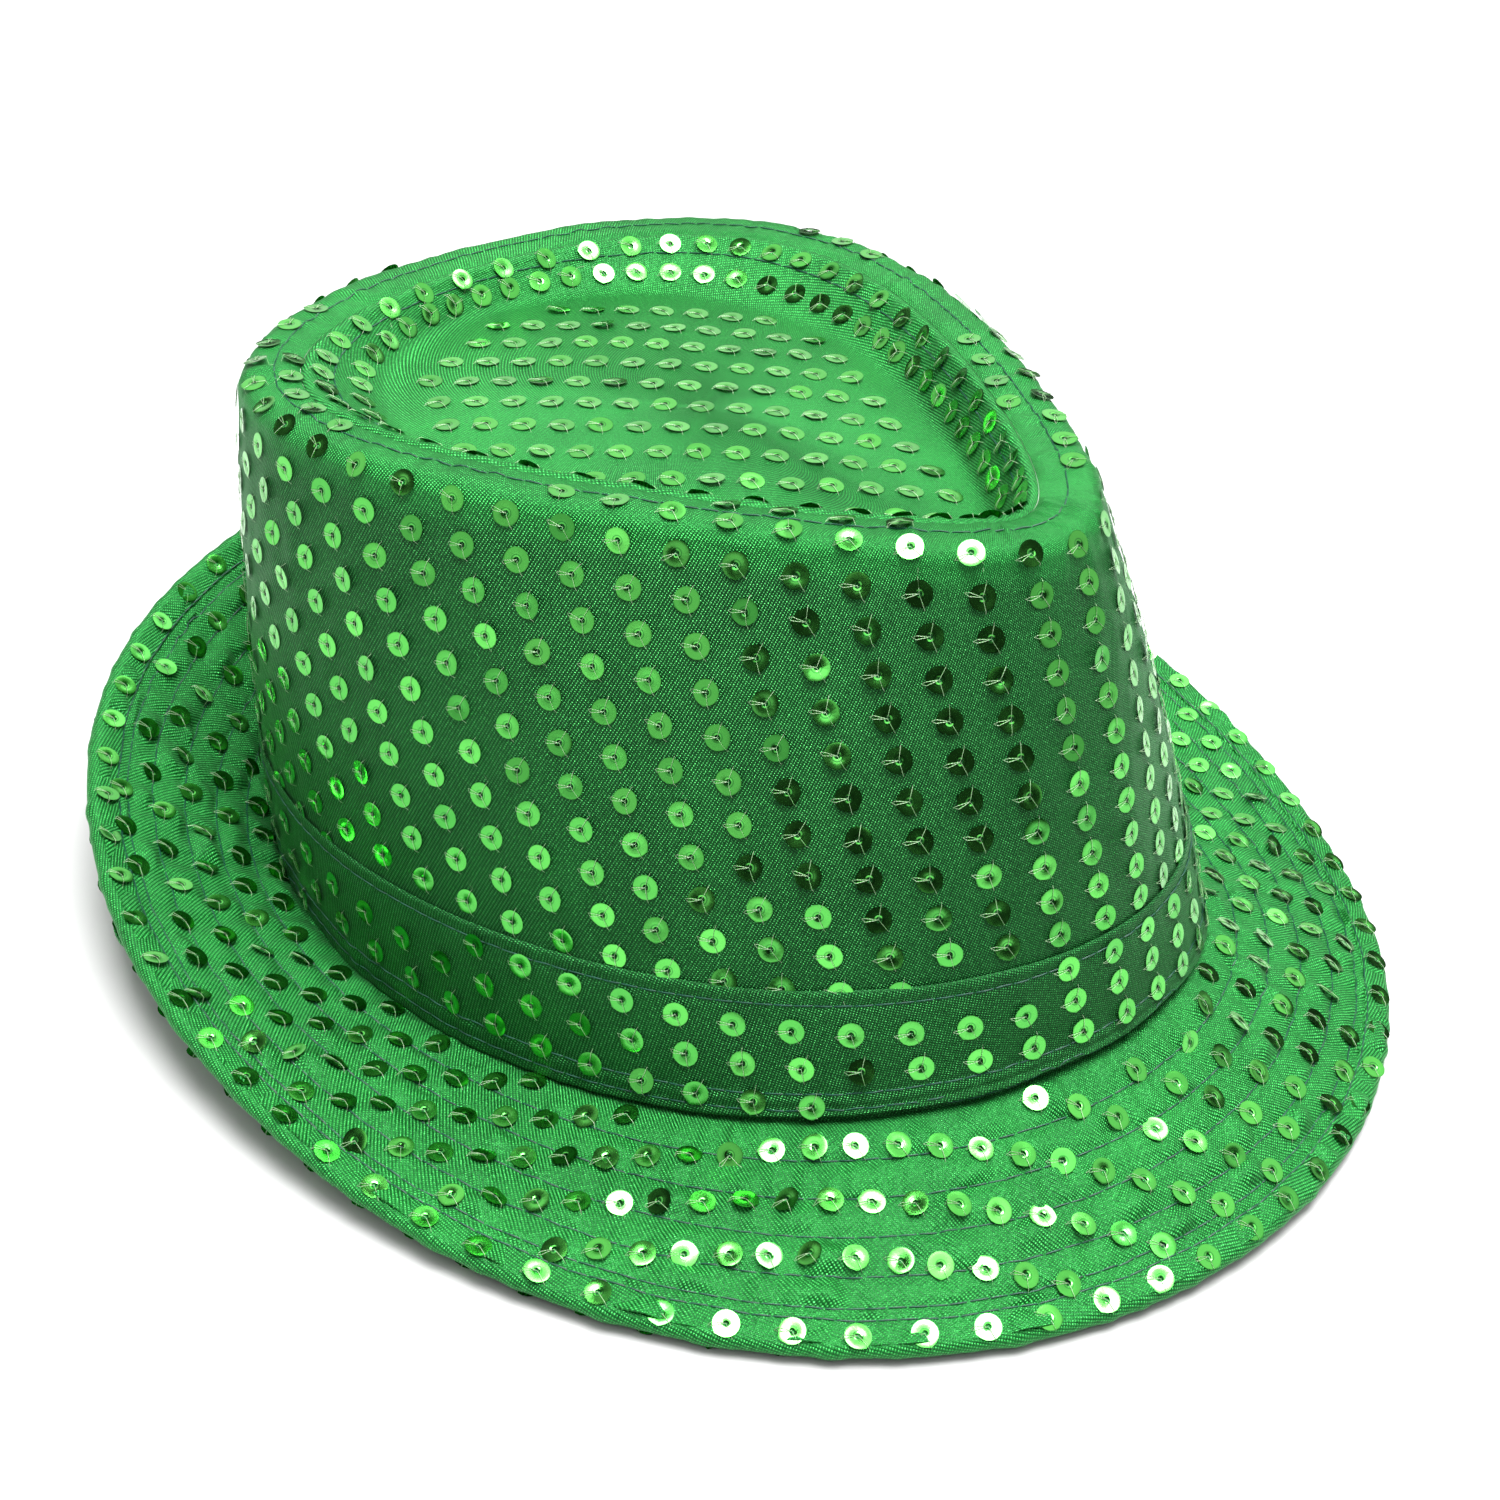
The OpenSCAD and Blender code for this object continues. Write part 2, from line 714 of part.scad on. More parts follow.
function floor_at(p, r) =
    let (depth = (dish_front + dish_back) / 2 - (dish_front - dish_back) / 2 * p[1] / (floor_l / 2))
    [p[0], p[1] + floor_shift + 4, crown_h - depth + dish_dome * (1 - r * r) + sequin_rise];

function dish_normal(a, t) =
    let (ahead = dish_wall(a + 1, t, 0) - dish_wall(a - 1, t, 0),
        down = dish_wall(a, t + 0.05, 0) - dish_wall(a, t - 0.05, 0))
    cross(down, ahead) * -1;

module brim_upper_sequins() {
    color(sequin_green)
        standing()
            brim_face_sequins(1);
}

module brim_lower_sequins() {
    color(sequin_green)
        standing()
            brim_face_sequins(-1);
}

// one row along each face of the binding
module binding_sequins() {
    row = brim_w - sequin_d / 2 - 0.5;
    way = travel([for (a = turn_angles) brim(a, row, 0)], turn_angles);
    total = way[steps][0];
    count = floor(total / (sequin_step * 1.5));
    over = ply_gap + binding_t + sequin_rise;
    color(sequin_green)
        standing()
            for (k = [0 : count - 1]) {
                a = lookup(total * (k + 0.5) / count, way);
                b = lookup(total * (k + 0.25) / count, way);
                brim_sequin(a, row, over, 1);
                brim_sequin(b, row, brim_bottom - over, -1);
            }
}

side_crown_fabric();
side_crown_interlining();
side_crown_lining();
tip_fabric();
tip_interlining();
tip_lining();
hat_band();
brim_upper_fabric();
brim_interlining();
brim_lower_fabric();
brim_edge_binding();
sweatband();
care_label();
ridge_topstitching();
tip_topstitching();
band_top_stitching();
band_lower_stitching();
brim_stitch_row_1();
brim_stitch_row_2();
brim_stitch_row_3();
brim_stitch_row_4();
brim_stitch_row_5();
binding_stitching();
sweatband_stitching();
side_crown_sequins();
tip_sequins();
band_sequins();
brim_upper_sequins();
brim_lower_sequins();
binding_sequins();
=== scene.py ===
import math
import bpy
import bmesh
import numpy as np
from mathutils import Matrix, Vector
from mathutils.bvhtree import BVHTree
from mathutils.kdtree import KDTree


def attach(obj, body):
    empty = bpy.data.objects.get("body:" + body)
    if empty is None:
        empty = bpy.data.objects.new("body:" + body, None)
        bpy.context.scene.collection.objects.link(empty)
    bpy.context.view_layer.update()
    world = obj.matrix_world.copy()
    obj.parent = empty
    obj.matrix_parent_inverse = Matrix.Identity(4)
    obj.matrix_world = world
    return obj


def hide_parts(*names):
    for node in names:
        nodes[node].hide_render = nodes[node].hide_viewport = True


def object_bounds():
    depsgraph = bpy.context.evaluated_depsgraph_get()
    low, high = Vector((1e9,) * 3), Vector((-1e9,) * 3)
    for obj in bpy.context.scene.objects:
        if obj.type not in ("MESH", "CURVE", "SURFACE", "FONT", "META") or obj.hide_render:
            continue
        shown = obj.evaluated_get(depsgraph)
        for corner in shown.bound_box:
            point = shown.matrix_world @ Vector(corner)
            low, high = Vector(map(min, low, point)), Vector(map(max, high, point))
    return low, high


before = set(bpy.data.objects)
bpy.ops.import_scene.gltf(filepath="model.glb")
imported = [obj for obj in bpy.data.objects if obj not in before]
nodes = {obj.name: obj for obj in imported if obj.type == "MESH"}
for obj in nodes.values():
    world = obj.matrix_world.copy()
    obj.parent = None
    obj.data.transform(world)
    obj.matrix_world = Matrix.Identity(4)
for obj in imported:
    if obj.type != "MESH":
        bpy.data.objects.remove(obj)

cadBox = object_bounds()
root = "root"

# the hat's own lines, in millimetres and degrees, in the level frame it is sewn in
hatShape = dict(
    crownBase=(204, 168.5, 0, -0.11, 0.12), saddle=5.4, crownHeight=101,
    ridge=(167, 124.5, 10.5, -0.526, 0.056), shoulderOut=6.5, shoulderRadius=3.5,
    sideSwell=2.5, seamIn=5.1, seamDip=0.5, floorLine=(143, 92, 10, -0.48, -0.1),
    dishFront=13, dishBack=8.5, dishDome=3, brimWidth=43.5, brimRoot=1.2,
    brimSideAngle=10, brimSwing=40, brimRows=(7.6, 15.0, 22.4, 29.8, 35.4),
    bindingWidth=6.2, ditchRow=5.7, bandHeight=25, bandRows=(2.6, 5.8, 22.6),
    sweatbandHeight=30, brimBottom=-2.3, flangeIn=-4.05,
    standAngle=4.15739, standShift=3.15187, standLift=8.95749)
uvSpan = 700.0  # millimetres of cloth across the whole of each UV map
sideHeight = hatShape["crownHeight"] - hatShape["shoulderRadius"]
shoulderArc = hatShape["shoulderRadius"] * math.pi / 2


def sind(a):
    return np.sin(np.radians(a))


def cosd(a):
    return np.cos(np.radians(a))


def oval(o, a):
    s, c = sind(a), cosd(a)
    return np.stack([o[1] / 2 * s * (1 + o[3] * c + o[4] * c * c), o[2] - o[0] / 2 * c], -1)


def unit(v):
    return v / np.linalg.norm(v, axis=-1, keepdims=True)


def outward(o, a):
    d = oval(o, a + 1) - oval(o, a - 1)
    return unit(np.stack([d[..., 1], -d[..., 0]], -1))


def beside(o, a, out):
    return oval(o, a) + np.asarray(out)[..., None] * outward(o, a)


def joined(plan, z):
    return np.concatenate([plan, np.broadcast_to(z, plan.shape[:-1])[..., None]], -1)


def baseZ(a):
    return hatShape["saddle"] * cosd(2 * a)


def wallPoint(a, t, out):
    h = hatShape
    t, out = np.broadcast_arrays(t + 0 * a, out + 0.0 * a)
    n = (1 - t)[..., None] * outward(h["crownBase"], a)
    n = unit(n + t[..., None] * outward(h["ridge"], a))
    p = (1 - t)[..., None] * oval(h["crownBase"], a)
    p = p + t[..., None] * beside(h["ridge"], a, h["shoulderOut"] + 0 * a)
    p = p + (h["sideSwell"] * 4 * t * (1 - t) + out)[..., None] * n
    return joined(p, (1 - t) * (baseZ(a) + 0.05) + t * sideHeight)


def shoulderPoint(a, b, out):
    h = hatShape
    r = h["shoulderRadius"]
    p = beside(h["ridge"], a, h["shoulderOut"] - r + (r + out) * cosd(b) + 0 * a)
    return joined(p, h["crownHeight"] - r + (r + out) * sind(b))


def ridgePoint(a, inset, out):
    h = hatShape
    dip = h["seamDip"] * np.maximum(0, inset / h["seamIn"])
    return joined(beside(h["ridge"], a, -inset + 0 * a), h["crownHeight"] - dip + out)


dishMean = (hatShape["dishFront"] + hatShape["dishBack"]) / 2
dishTilt = (hatShape["dishFront"] - hatShape["dishBack"]) / 2


def dishDepth(a):
    return dishMean + dishTilt * cosd(a)


def dishWallPoint(a, t, down):
    h = hatShape
    top = beside(h["ridge"], a, -h["seamIn"] - 1.8 + down / 2 + 0 * a)
    foot = beside(h["floorLine"], a, down / 2 + 0 * a)
    z = h["crownHeight"] - 0.3 - down - t * (dishDepth(a) - 0.3)
    return joined((1 - t) * top + t * foot, z)


def dishFloorPoint(a, r, down):
    h = hatShape
    middle = np.array([0, h["floorLine"][2] + 4.0])
    p = middle + r * (beside(h["floorLine"], a, down / 2 + 0 * a) - middle)
    depth = dishMean + dishTilt * r * cosd(a)
    return joined(p, h["crownHeight"] - depth + h["dishDome"] * (1 - r * r) - down)


def brimPoint(a, d, height):
    h = hatShape
    if d < 0:
        return joined(beside(h["crownBase"], a, h["brimRoot"] + d + 0 * a), baseZ(a) + height)
    f = (h["brimSideAngle"] - h["brimSwing"] * cosd(a)) * (0.5 if d == 0 else 1)
    k = height / cosd(f) if d == 0 else height
    p = beside(h["crownBase"], a, h["brimRoot"] + d * cosd(f) - k * sind(f))
    return joined(p, baseZ(a) + d * sind(f) + k * cosd(f))


def stood(p, isPoint=True):
    # from the level frame, in millimetres, to the standing hat, in metres
    h = hatShape
    c, s = math.cos(math.radians(h["standAngle"])), math.sin(math.radians(h["standAngle"]))
    x, y, z = p[..., 0], p[..., 1], p[..., 2]
    q = np.stack([x, y * c + z * s, z * c - y * s], -1)
    if isPoint:
        q = q + np.array([0, h["standShift"], h["standLift"]])
    return q / 1000 if isPoint else q


def ripples(seed, a, s, waves, around, along):
    # a seamless sum of waves: around gives cycles per turn, along radians per millimetre
    rng = np.random.default_rng(seed)
    total = 0
    for _ in range(waves):
        m = rng.integers(around[0], around[1] + 1)
        q = rng.uniform(along[0], along[1]) * rng.choice([-1, 1])
        total = total + np.cos(np.radians(a) * m + q * s + rng.uniform(0, 2 * math.pi))
    return total * math.sqrt(2 / waves)


def hump(x, width):
    return np.exp(-(x / width) ** 2)


def softened(p, passes):
    for _ in range(passes):
        p[1:-1] = 0.25 * p[:-2] + 0.5 * p[1:-1] + 0.25 * p[2:]
    return p


def normalsOf(p):
    # p[row, column], where the last column repeats the first
    ring = np.concatenate([p[:, -2:-1], p, p[:, 1:2]], 1)
    du = ring[:, 2:] - ring[:, :-2]
    dv = np.gradient(p, axis=0)
    n = np.cross(du, dv)
    size = np.linalg.norm(n, axis=-1, keepdims=True)
    return n / np.maximum(size, 1e-9)


def lengthsDown(p):
    # distance from the first row down each column of a grid, or along one line of points
    steps = np.linalg.norm(np.diff(p, axis=0), axis=-1)
    return np.concatenate([0 * steps[:1], np.cumsum(steps, 0)])


faceCounts = {}  # how many faces of each cloth piece are its outer side


def makeCloth(name, points, thick, material, replaced, faceOut=1, around=600.0):
    # a grid bent into the given points, closed round the head and given its thickness
    rows, columns = points.shape[:2]
    bpy.ops.object.select_all(action="DESELECT")
    bpy.ops.mesh.primitive_grid_add(x_subdivisions=columns - 1, y_subdivisions=rows - 1, size=1)
    piece = bpy.context.object
    piece.name = name
    mesh = piece.data
    flat = np.empty(len(mesh.vertices) * 3, np.float32)
    mesh.vertices.foreach_get("co", flat)
    flat = flat.reshape(-1, 3)
    column = np.rint((flat[:, 0] + 0.5) * (columns - 1)).astype(int)
    row = np.rint((flat[:, 1] + 0.5) * (rows - 1)).astype(int)
    mesh.vertices.foreach_set("co", stood(points[row, column]).astype(np.float32).ravel())
    down = lengthsDown(points).mean(1)
    corner = np.empty(len(mesh.loops), np.int32)
    mesh.loops.foreach_get("vertex_index", corner)
    uv = np.stack([column[corner] / (columns - 1) * around, down[row[corner]]], -1) / uvSpan
    mesh.uv_layers[0].data.foreach_set("uv", uv.astype(np.float32).ravel())
    bpy.ops.object.mode_set(mode="EDIT")
    bpy.ops.mesh.select_all(action="SELECT")
    bpy.ops.mesh.remove_doubles(threshold=2e-6)
    if faceOut < 0:
        bpy.ops.mesh.flip_normals()
    bpy.ops.object.mode_set(mode="OBJECT")
    faceCounts[name] = len(mesh.polygons)
    shell = piece.modifiers.new("thickness", "SOLIDIFY")
    shell.thickness = thick / 1000
    shell.offset = -1
    bpy.ops.object.modifier_apply(modifier=shell.name)
    finishPiece(piece, material, replaced)
    return piece


def finishPiece(piece, material, replaced, angle=60):
    bpy.ops.object.select_all(action="DESELECT")
    piece.select_set(True)
    bpy.context.view_layer.objects.active = piece
    bpy.ops.object.shade_smooth_by_angle(angle=math.radians(angle))
    piece.data.materials.clear()
    piece.data.materials.append(material)
    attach(piece, root)
    if replaced:
        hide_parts(*replaced)
    print(piece.name, len(piece.data.polygons), "faces")


def nodeSet(name):
    material = bpy.data.materials.new(name)
    material.use_nodes = True
    tree = material.node_tree
    return material, tree, tree.nodes["Principled BSDF"]


def feed(tree, node, inputs):
    # links what is a socket and sets what is a plain value
    for key, value in inputs.items():
        if isinstance(value, bpy.types.NodeSocket):
            tree.links.new(value, node.inputs[key])
        else:
            node.inputs[key].default_value = value


def add(tree, kind, inputs=None, **settings):
    node = tree.nodes.new(kind)
    for key, value in settings.items():
        setattr(node, key, value)
    feed(tree, node, inputs or {})
    return node


def mathNode(tree, operation, a, b, c=0.0):
    return add(tree, "ShaderNodeMath", {0: a, 1: b, 2: c}, operation=operation).outputs[0]


def mixColours(tree, factor, a, b):
    return add(tree, "ShaderNodeMix", {0: factor, 6: a, 7: b}, data_type="RGBA").outputs[2]


def mapped(tree, value, fromMin=0.0, fromMax=1.0, toMin=0.0, toMax=1.0):
    return add(tree, "ShaderNodeMapRange", {"Value": value, "From Min": fromMin,
        "From Max": fromMax, "To Min": toMin, "To Max": toMax}).outputs[0]


def noise(tree, place, scale, detail=2.0, roughness=0.5):
    return add(tree, "ShaderNodeTexNoise", {"Vector": place, "Scale": scale, "Detail": detail,
        "Roughness": roughness}).outputs[0]


bandScale = 0.314  # the scale at which the wave texture repeats once a millimetre


def bands(tree, place, pitch, direction, distortion, detail=2.0, detailScale=1.0):
    return add(tree, "ShaderNodeTexWave", {"Vector": place, "Scale": bandScale / pitch,
        "Distortion": distortion, "Detail": detail, "Detail Scale": detailScale},
        bands_direction=direction).outputs["Fac"]


def bumped(tree, strength, distance, height):
    return add(tree, "ShaderNodeBump", {"Strength": strength, "Distance": distance,
        "Height": height}).outputs[0]


def clothPlace(tree, turnDegrees=0.0):
    # cloth coordinates in millimetres, turned on the cloth
    uv = add(tree, "ShaderNodeUVMap", uv_map="UVMap")
    return add(tree, "ShaderNodeMapping", {0: uv.outputs[0], "Scale": (uvSpan, uvSpan, uvSpan),
        "Rotation": (0, 0, math.radians(turnDegrees))}).outputs[0]


def objectPlace(tree):
    return add(tree, "ShaderNodeTexCoord").outputs["Object"]


satinLook = dict(
    # float is the pale colour of the painted glints on the yarn floats
    dark=(0.002, 0.055, 0.01, 1), light=(0.022, 0.3, 0.05, 1), float=(0.16, 0.8, 0.22, 1),
    tint=(0.65, 1.0, 0.7, 1), roughness=0.36, metallic=0.6, anisotropy=0.55, twillAngle=28.0,
    twillPitch=0.6, crossPitch=0.45, weaveDepth=0.00022, bumpStrength=0.7, broadScale=0.06,
    broadShare=0.4, weaveShare=0.85, ribShare=0.15, slubScale=1.4, slubShare=0.6,
    # the rise is how far up the cloth the painted light over the shoulder fades in
    shadeRange=(0.42, 1.15), glintRange=(0.36, 0.6), glintShare=0.75, litShoulderRise=6.0,
    sheen=0.08, sheenRoughness=0.35, sheenTint=(0.35, 1.0, 0.42, 1))
# painted shade: the crown and band get a darker copy of the satin, whose darker tones stand in for
# the walls lying in shade under the top light
shadedSatinLook = dict(satinLook, dark=(0.001, 0.03, 0.006, 1), light=(0.01, 0.13, 0.023, 1),
    float=(0.11, 0.66, 0.16, 1))


def satinMaterial(name, look, turnDegrees=0.0, litShoulderFrom=0.0):
    material, tree, shader = nodeSet(name)
    twill = clothPlace(tree, turnDegrees + look["twillAngle"])
    ribs = bands(tree, twill, look["twillPitch"], "X", 0.8, 1.0, 2.0)
    floats = bands(tree, twill, look["crossPitch"], "Y", 1.5, 1.0, 3.0)
    weave = mathNode(tree, "MULTIPLY", ribs, floats)
    broad = noise(tree, clothPlace(tree, turnDegrees), look["broadScale"], 3.0)
    slub = noise(tree, twill, look["slubScale"])
    shade = mathNode(tree, "MULTIPLY", broad, look["broadShare"])
    for part, share in ((weave, "weaveShare"), (ribs, "ribShare"), (slub, "slubShare")):
        shade = mathNode(tree, "MULTIPLY_ADD", part, look[share], shade)
    ramp = mapped(tree, shade, *look["shadeRange"])
    tone = mixColours(tree, ramp, look["dark"], look["light"])
    if litShoulderFrom:
        # painted light: from the given height up the cloth, over the shoulder, the colour is mixed
        # towards the lighter satin tone, a painted highlight where the top of the crown is lit
        height = add(tree, "ShaderNodeSeparateXYZ", {0: clothPlace(tree)}).outputs["Y"]
        litShoulderShare = mapped(tree, height, litShoulderFrom, litShoulderFrom + look["litShoulderRise"])
        # the lighter satin tone that the painted shoulder light mixes towards
        warp = mixColours(tree, ramp, satinLook["dark"], satinLook["light"])
        tone = mixColours(tree, litShoulderShare, tone, warp)
    # painted glints: on single long floats of yarn the colour is mixed towards the pale float
    # colour, painted in as the light they catch
    glint = mapped(tree, mathNode(tree, "MULTIPLY", weave, slub), *look["glintRange"])
    glint = mathNode(tree, "MULTIPLY", glint, look["glintShare"])
    roughness = mapped(tree, weave, 0.0, 1.0, look["roughness"] + 0.08, look["roughness"] - 0.1)
    height = mathNode(tree, "MULTIPLY_ADD", slub, 0.5, weave)
    tangent = add(tree, "ShaderNodeTangent", direction_type="UV_MAP", uv_map="UVMap")
    feed(tree, shader, {
        "Base Color": mixColours(tree, glint, tone, look["float"]), "Roughness": roughness,
        "Normal": bumped(tree, look["bumpStrength"], look["weaveDepth"], height),
        "Tangent": tangent.outputs[0], "Metallic": look["metallic"],
        "Anisotropic": look["anisotropy"], "Specular IOR Level": 0.5,
        "Specular Tint": look["tint"], "Sheen Weight": look["sheen"],
        "Sheen Roughness": look["sheenRoughness"], "Sheen Tint": look["sheenTint"]})
    return material


def wovenMaterial(name, dark, light, pitch, roughness, depth, rib=False):
    # plain cloth: warp and weft for the lining and label, ribs for the sweatband tape
    material, tree, shader = nodeSet(name)
    place = clothPlace(tree)
    warp = bands(tree, place, pitch, "X", 0.8, 1.0)
    weft = bands(tree, place, pitch * (2.4 if rib else 1.0), "Y", 0.8, 1.0)
    weave = mathNode(tree, "MULTIPLY_ADD", warp, 0.4 if rib else 0.8, weft)
    broad = noise(tree, place, 0.09, 4.0)
    ramp = mapped(tree, mathNode(tree, "MULTIPLY_ADD", weave, 0.45, broad), 0.45, 1.3)
    feed(tree, shader, {"Base Color": mixColours(tree, ramp, dark, light),
        "Normal": bumped(tree, 0.7, depth, weave), "Sheen Weight": 0.25,
        "Roughness": mapped(tree, broad, toMin=roughness - 0.08, toMax=roughness + 0.08)})
    return material


def feltMaterial(name, dark, light):
    material, tree, shader = nodeSet(name)
    fibre = noise(tree, objectPlace(tree), 1800.0, 5.0, 0.7)
    patch = noise(tree, objectPlace(tree), 120.0)
    ramp = mapped(tree, mathNode(tree, "MULTIPLY_ADD", fibre, 0.5, patch), 0.5, 1.0)
    feed(tree, shader, {"Base Color": mixColours(tree, ramp, dark, light),
        "Normal": bumped(tree, 0.5, 0.0001, fibre),
        "Roughness": mapped(tree, patch, toMin=0.8, toMax=0.95)})
    return material


def threadMaterial(name, dark, light, twistPitch, roughness, clear=0.0):
    # the UV runs along the thread in millimetres, so the twist follows it
    material, tree, shader = nodeSet(name)
    twist = bands(tree, clothPlace(tree, 40.0), twistPitch, "X", 0.5)
    patch = noise(tree, objectPlace(tree), 400.0)
    ramp = mapped(tree, mathNode(tree, "MULTIPLY_ADD", twist, 0.5, patch), 0.3, 1.1)
    feed(tree, shader, {"Base Color": mixColours(tree, ramp, dark, light),
        "Normal": bumped(tree, 0.6, 0.00005, twist), "Transmission Weight": clear,
        "Roughness": mapped(tree, patch, toMin=roughness - 0.1, toMax=roughness + 0.1)})
    return material


sequinLook = dict(low=(0.035, 0.3, 0.04, 1), high=(0.13, 0.64, 0.1, 1),
    edge=(0.03, 0.26, 0.03, 1), edgeShare=0.7, hub=(0.02, 0.2, 0.03, 1), hubShare=0.75,
    roughness=0.17, coat=0.25, coatRoughness=0.08)


def sequinMaterial(name, look):
    # each sequin fills its own square of the UV map, with its middle at 0.5, 0.5
    material, tree, shader = nodeSet(name)
    uv = add(tree, "ShaderNodeUVMap", uv_map="UVMap")
    centred = add(tree, "ShaderNodeVectorMath", {0: uv.outputs[0], 1: (0.5, 0.5, 0.0)},
        operation="SUBTRACT")
    radius = add(tree, "ShaderNodeVectorMath", {0: centred.outputs[0]}, operation="LENGTH")
    radius = radius.outputs["Value"]
    tone = add(tree, "ShaderNodeAttribute", attribute_name="tone").outputs["Fac"]
    speck = noise(tree, objectPlace(tree), 700.0)
    film = mixColours(tree, mathNode(tree, "MULTIPLY_ADD", speck, 0.16, tone), look["low"],
        look["high"])
    edge = mathNode(tree, "MULTIPLY", mapped(tree, radius, 0.455, 0.5), look["edgeShare"])
    film = mixColours(tree, edge, film, look["edge"])
    hub = mathNode(tree, "MULTIPLY", mapped(tree, radius, 0.155, 0.185),
        mapped(tree, radius, 0.225, 0.2))
    film = mixColours(tree, mathNode(tree, "MULTIPLY", hub, look["hubShare"]), film, look["hub"])
    scuff = noise(tree, objectPlace(tree), 200.0, 3.0)
    roughness = mapped(tree, scuff, 0.35, 0.75, look["roughness"] - 0.04,
        look["roughness"] + 0.08)
    height = mathNode(tree, "MULTIPLY_ADD", hub, 0.3, scuff)
    feed(tree, shader, {"Base Color": film, "Roughness": roughness,
        "Normal": bumped(tree, 0.3, 0.00005, height), "Metallic": 1.0,
        "Coat Weight": look["coat"], "Coat Roughness": look["coatRoughness"]})
    return material


# the crown and band use the darker painted-shade copy of the satin, and the crown is painted
# lighter again over the shoulder
crownSatin = satinMaterial("crownSatin", shadedSatinLook, litShoulderFrom=95.0)
tipSatin = satinMaterial("tipSatin", satinLook, 45.0)
brimSatin = satinMaterial("brimSatin", satinLook, 10.0)
bandSatin = satinMaterial("bandSatin", shadedSatinLook, -12.0)
bindingSatin = satinMaterial("bindingSatin", satinLook, 45.0)
liningCloth = wovenMaterial("liningCloth", (0.004, 0.12, 0.03, 1), (0.012, 0.22, 0.06, 1),
    0.3, 0.5, 0.00005)
sweatbandTape = wovenMaterial("sweatbandTape", (0.004, 0.09, 0.03, 1), (0.015, 0.19, 0.06, 1),
    0.55, 0.72, 0.00018, rib=True)
labelTape = wovenMaterial("labelTape", (0.72, 0.72, 0.69, 1), (0.88, 0.88, 0.86, 1),
    0.25, 0.55, 0.00005)
stiffenerFelt = feltMaterial("stiffenerFelt", (0.62, 0.62, 0.57, 1), (0.85, 0.85, 0.8, 1))
greenThread = threadMaterial("greenThread", (0.0005, 0.02, 0.012, 1), (0.002, 0.07, 0.04, 1),
    0.35, 0.5)
clearThread = threadMaterial("clearThread", (0.16, 0.36, 0.14, 1), (0.42, 0.6, 0.36, 1),
    0.4, 0.35, 0.3)
sequinFilm = sequinMaterial("sequinFilm", sequinLook)


def crownWave(a, s):
    # slow waves that all layers of the crown side share
    return 0.16 * ripples(11, a, s, 12, (4, 22), (0.01, 0.1))


def brimWave(a, d):
    return 0.28 * np.clip(d / 43, 0, 1) * ripples(12, a, d, 8, (3, 11), (0.0, 0.04))


def clothStack(rowPoints, passes=0):
    return softened(np.stack(rowPoints), passes)


def spread(a, p):
    return np.broadcast_to(a, p.shape[:2])


def moved(p, d):
    return p + d[..., None] * normalsOf(p)


def crownRows(a, out, wallCount, toSeam, startT=0.0, seam=5.05):
    ts = np.linspace(startT, 1, wallCount)
    bs = np.linspace(0, 90, 9)[1:]
    rows = [wallPoint(a, t, out) for t in ts] + [shoulderPoint(a, b, out) for b in bs]
    if toSeam:
        rows += [ridgePoint(a, inset, out) for inset in np.linspace(-3, seam, 12)[1:]]
    return rows


def ring(count):
    return np.linspace(0, 360, count + 1)


satinThick = 0.42

sideFabric = dict(columns=600, wallRows=58, puff=0.2, fine=0.06, stitchDown=5.05, ridgePucker=0.2,
    frontPucker=0.3, frontWidth=34, stitchSink=0.25, seamGroove=0.35, seamRaise=0.12,
    seamReach=88)


def buildSideFabric():
    f = sideFabric
    a = ring(f["columns"])
    p = clothStack(crownRows(a, 0.0, f["wallRows"], True))
    s, aa = lengthsDown(p), spread(a, p)
    # distance from the ridge stitching, which runs below the cloth's upper edge
    total = s[-1]
    fromStitch = s - (total - f["stitchDown"])
    d = f["puff"] + crownWave(aa, s) + f["fine"] * ripples(21, aa, s, 16, (30, 90), (0.05, 0.5))
    near = np.exp(-np.abs(fromStitch) / 3.5)
    d = d + f["ridgePucker"] * near * ripples(22, aa, s, 14, (60, 130), (0.0, 0.5))
    front = hump((aa + 180) % 360 - 180, f["frontWidth"]) * np.exp(-np.abs(fromStitch) / 7)
    d = d + f["frontPucker"] * front * ripples(23, aa, s, 12, (40, 100), (0.1, 0.6))
    d = d - f["stitchSink"] * hump(fromStitch, 0.7)
    backWay = ((aa % 360) - 180) * math.pi / 180 * f["seamReach"]
    d = d - f["seamGroove"] * hump(backWay, 0.8)
    d = d + f["seamRaise"] * hump(np.abs(backWay) - 2.2, 1.4)
    d = np.maximum(d, -0.03)
    d = d * np.clip((total - s) / 1.5, 0.0, 1)
    p = moved(p, d)
    p[-1, :, 2] -= 0.35
    p[-2, :, 2] -= 0.12
    return makeCloth("sideCrownFabric", p, satinThick, crownSatin,
        ["side_crown_fabric"])


def tipRows(a, depth, wallCount, floorCount, rim):
    rows = [ridgePoint(a, inset, -depth) for inset in rim]
    rows += [dishWallPoint(a, t, depth) for t in np.linspace(0, 1, wallCount)]
    rows += [dishFloorPoint(a, r, depth) for r in np.linspace(1, 0, floorCount)[1:]]
    return rows


tipFabric = dict(columns=480, wallRows=15, floorRows=46, puff=0.15, edgeRoll=0.2, stitchRow=3.2,
    wallPucker=0.22, floorWave=0.25, stitchSink=0.25, softening=5)


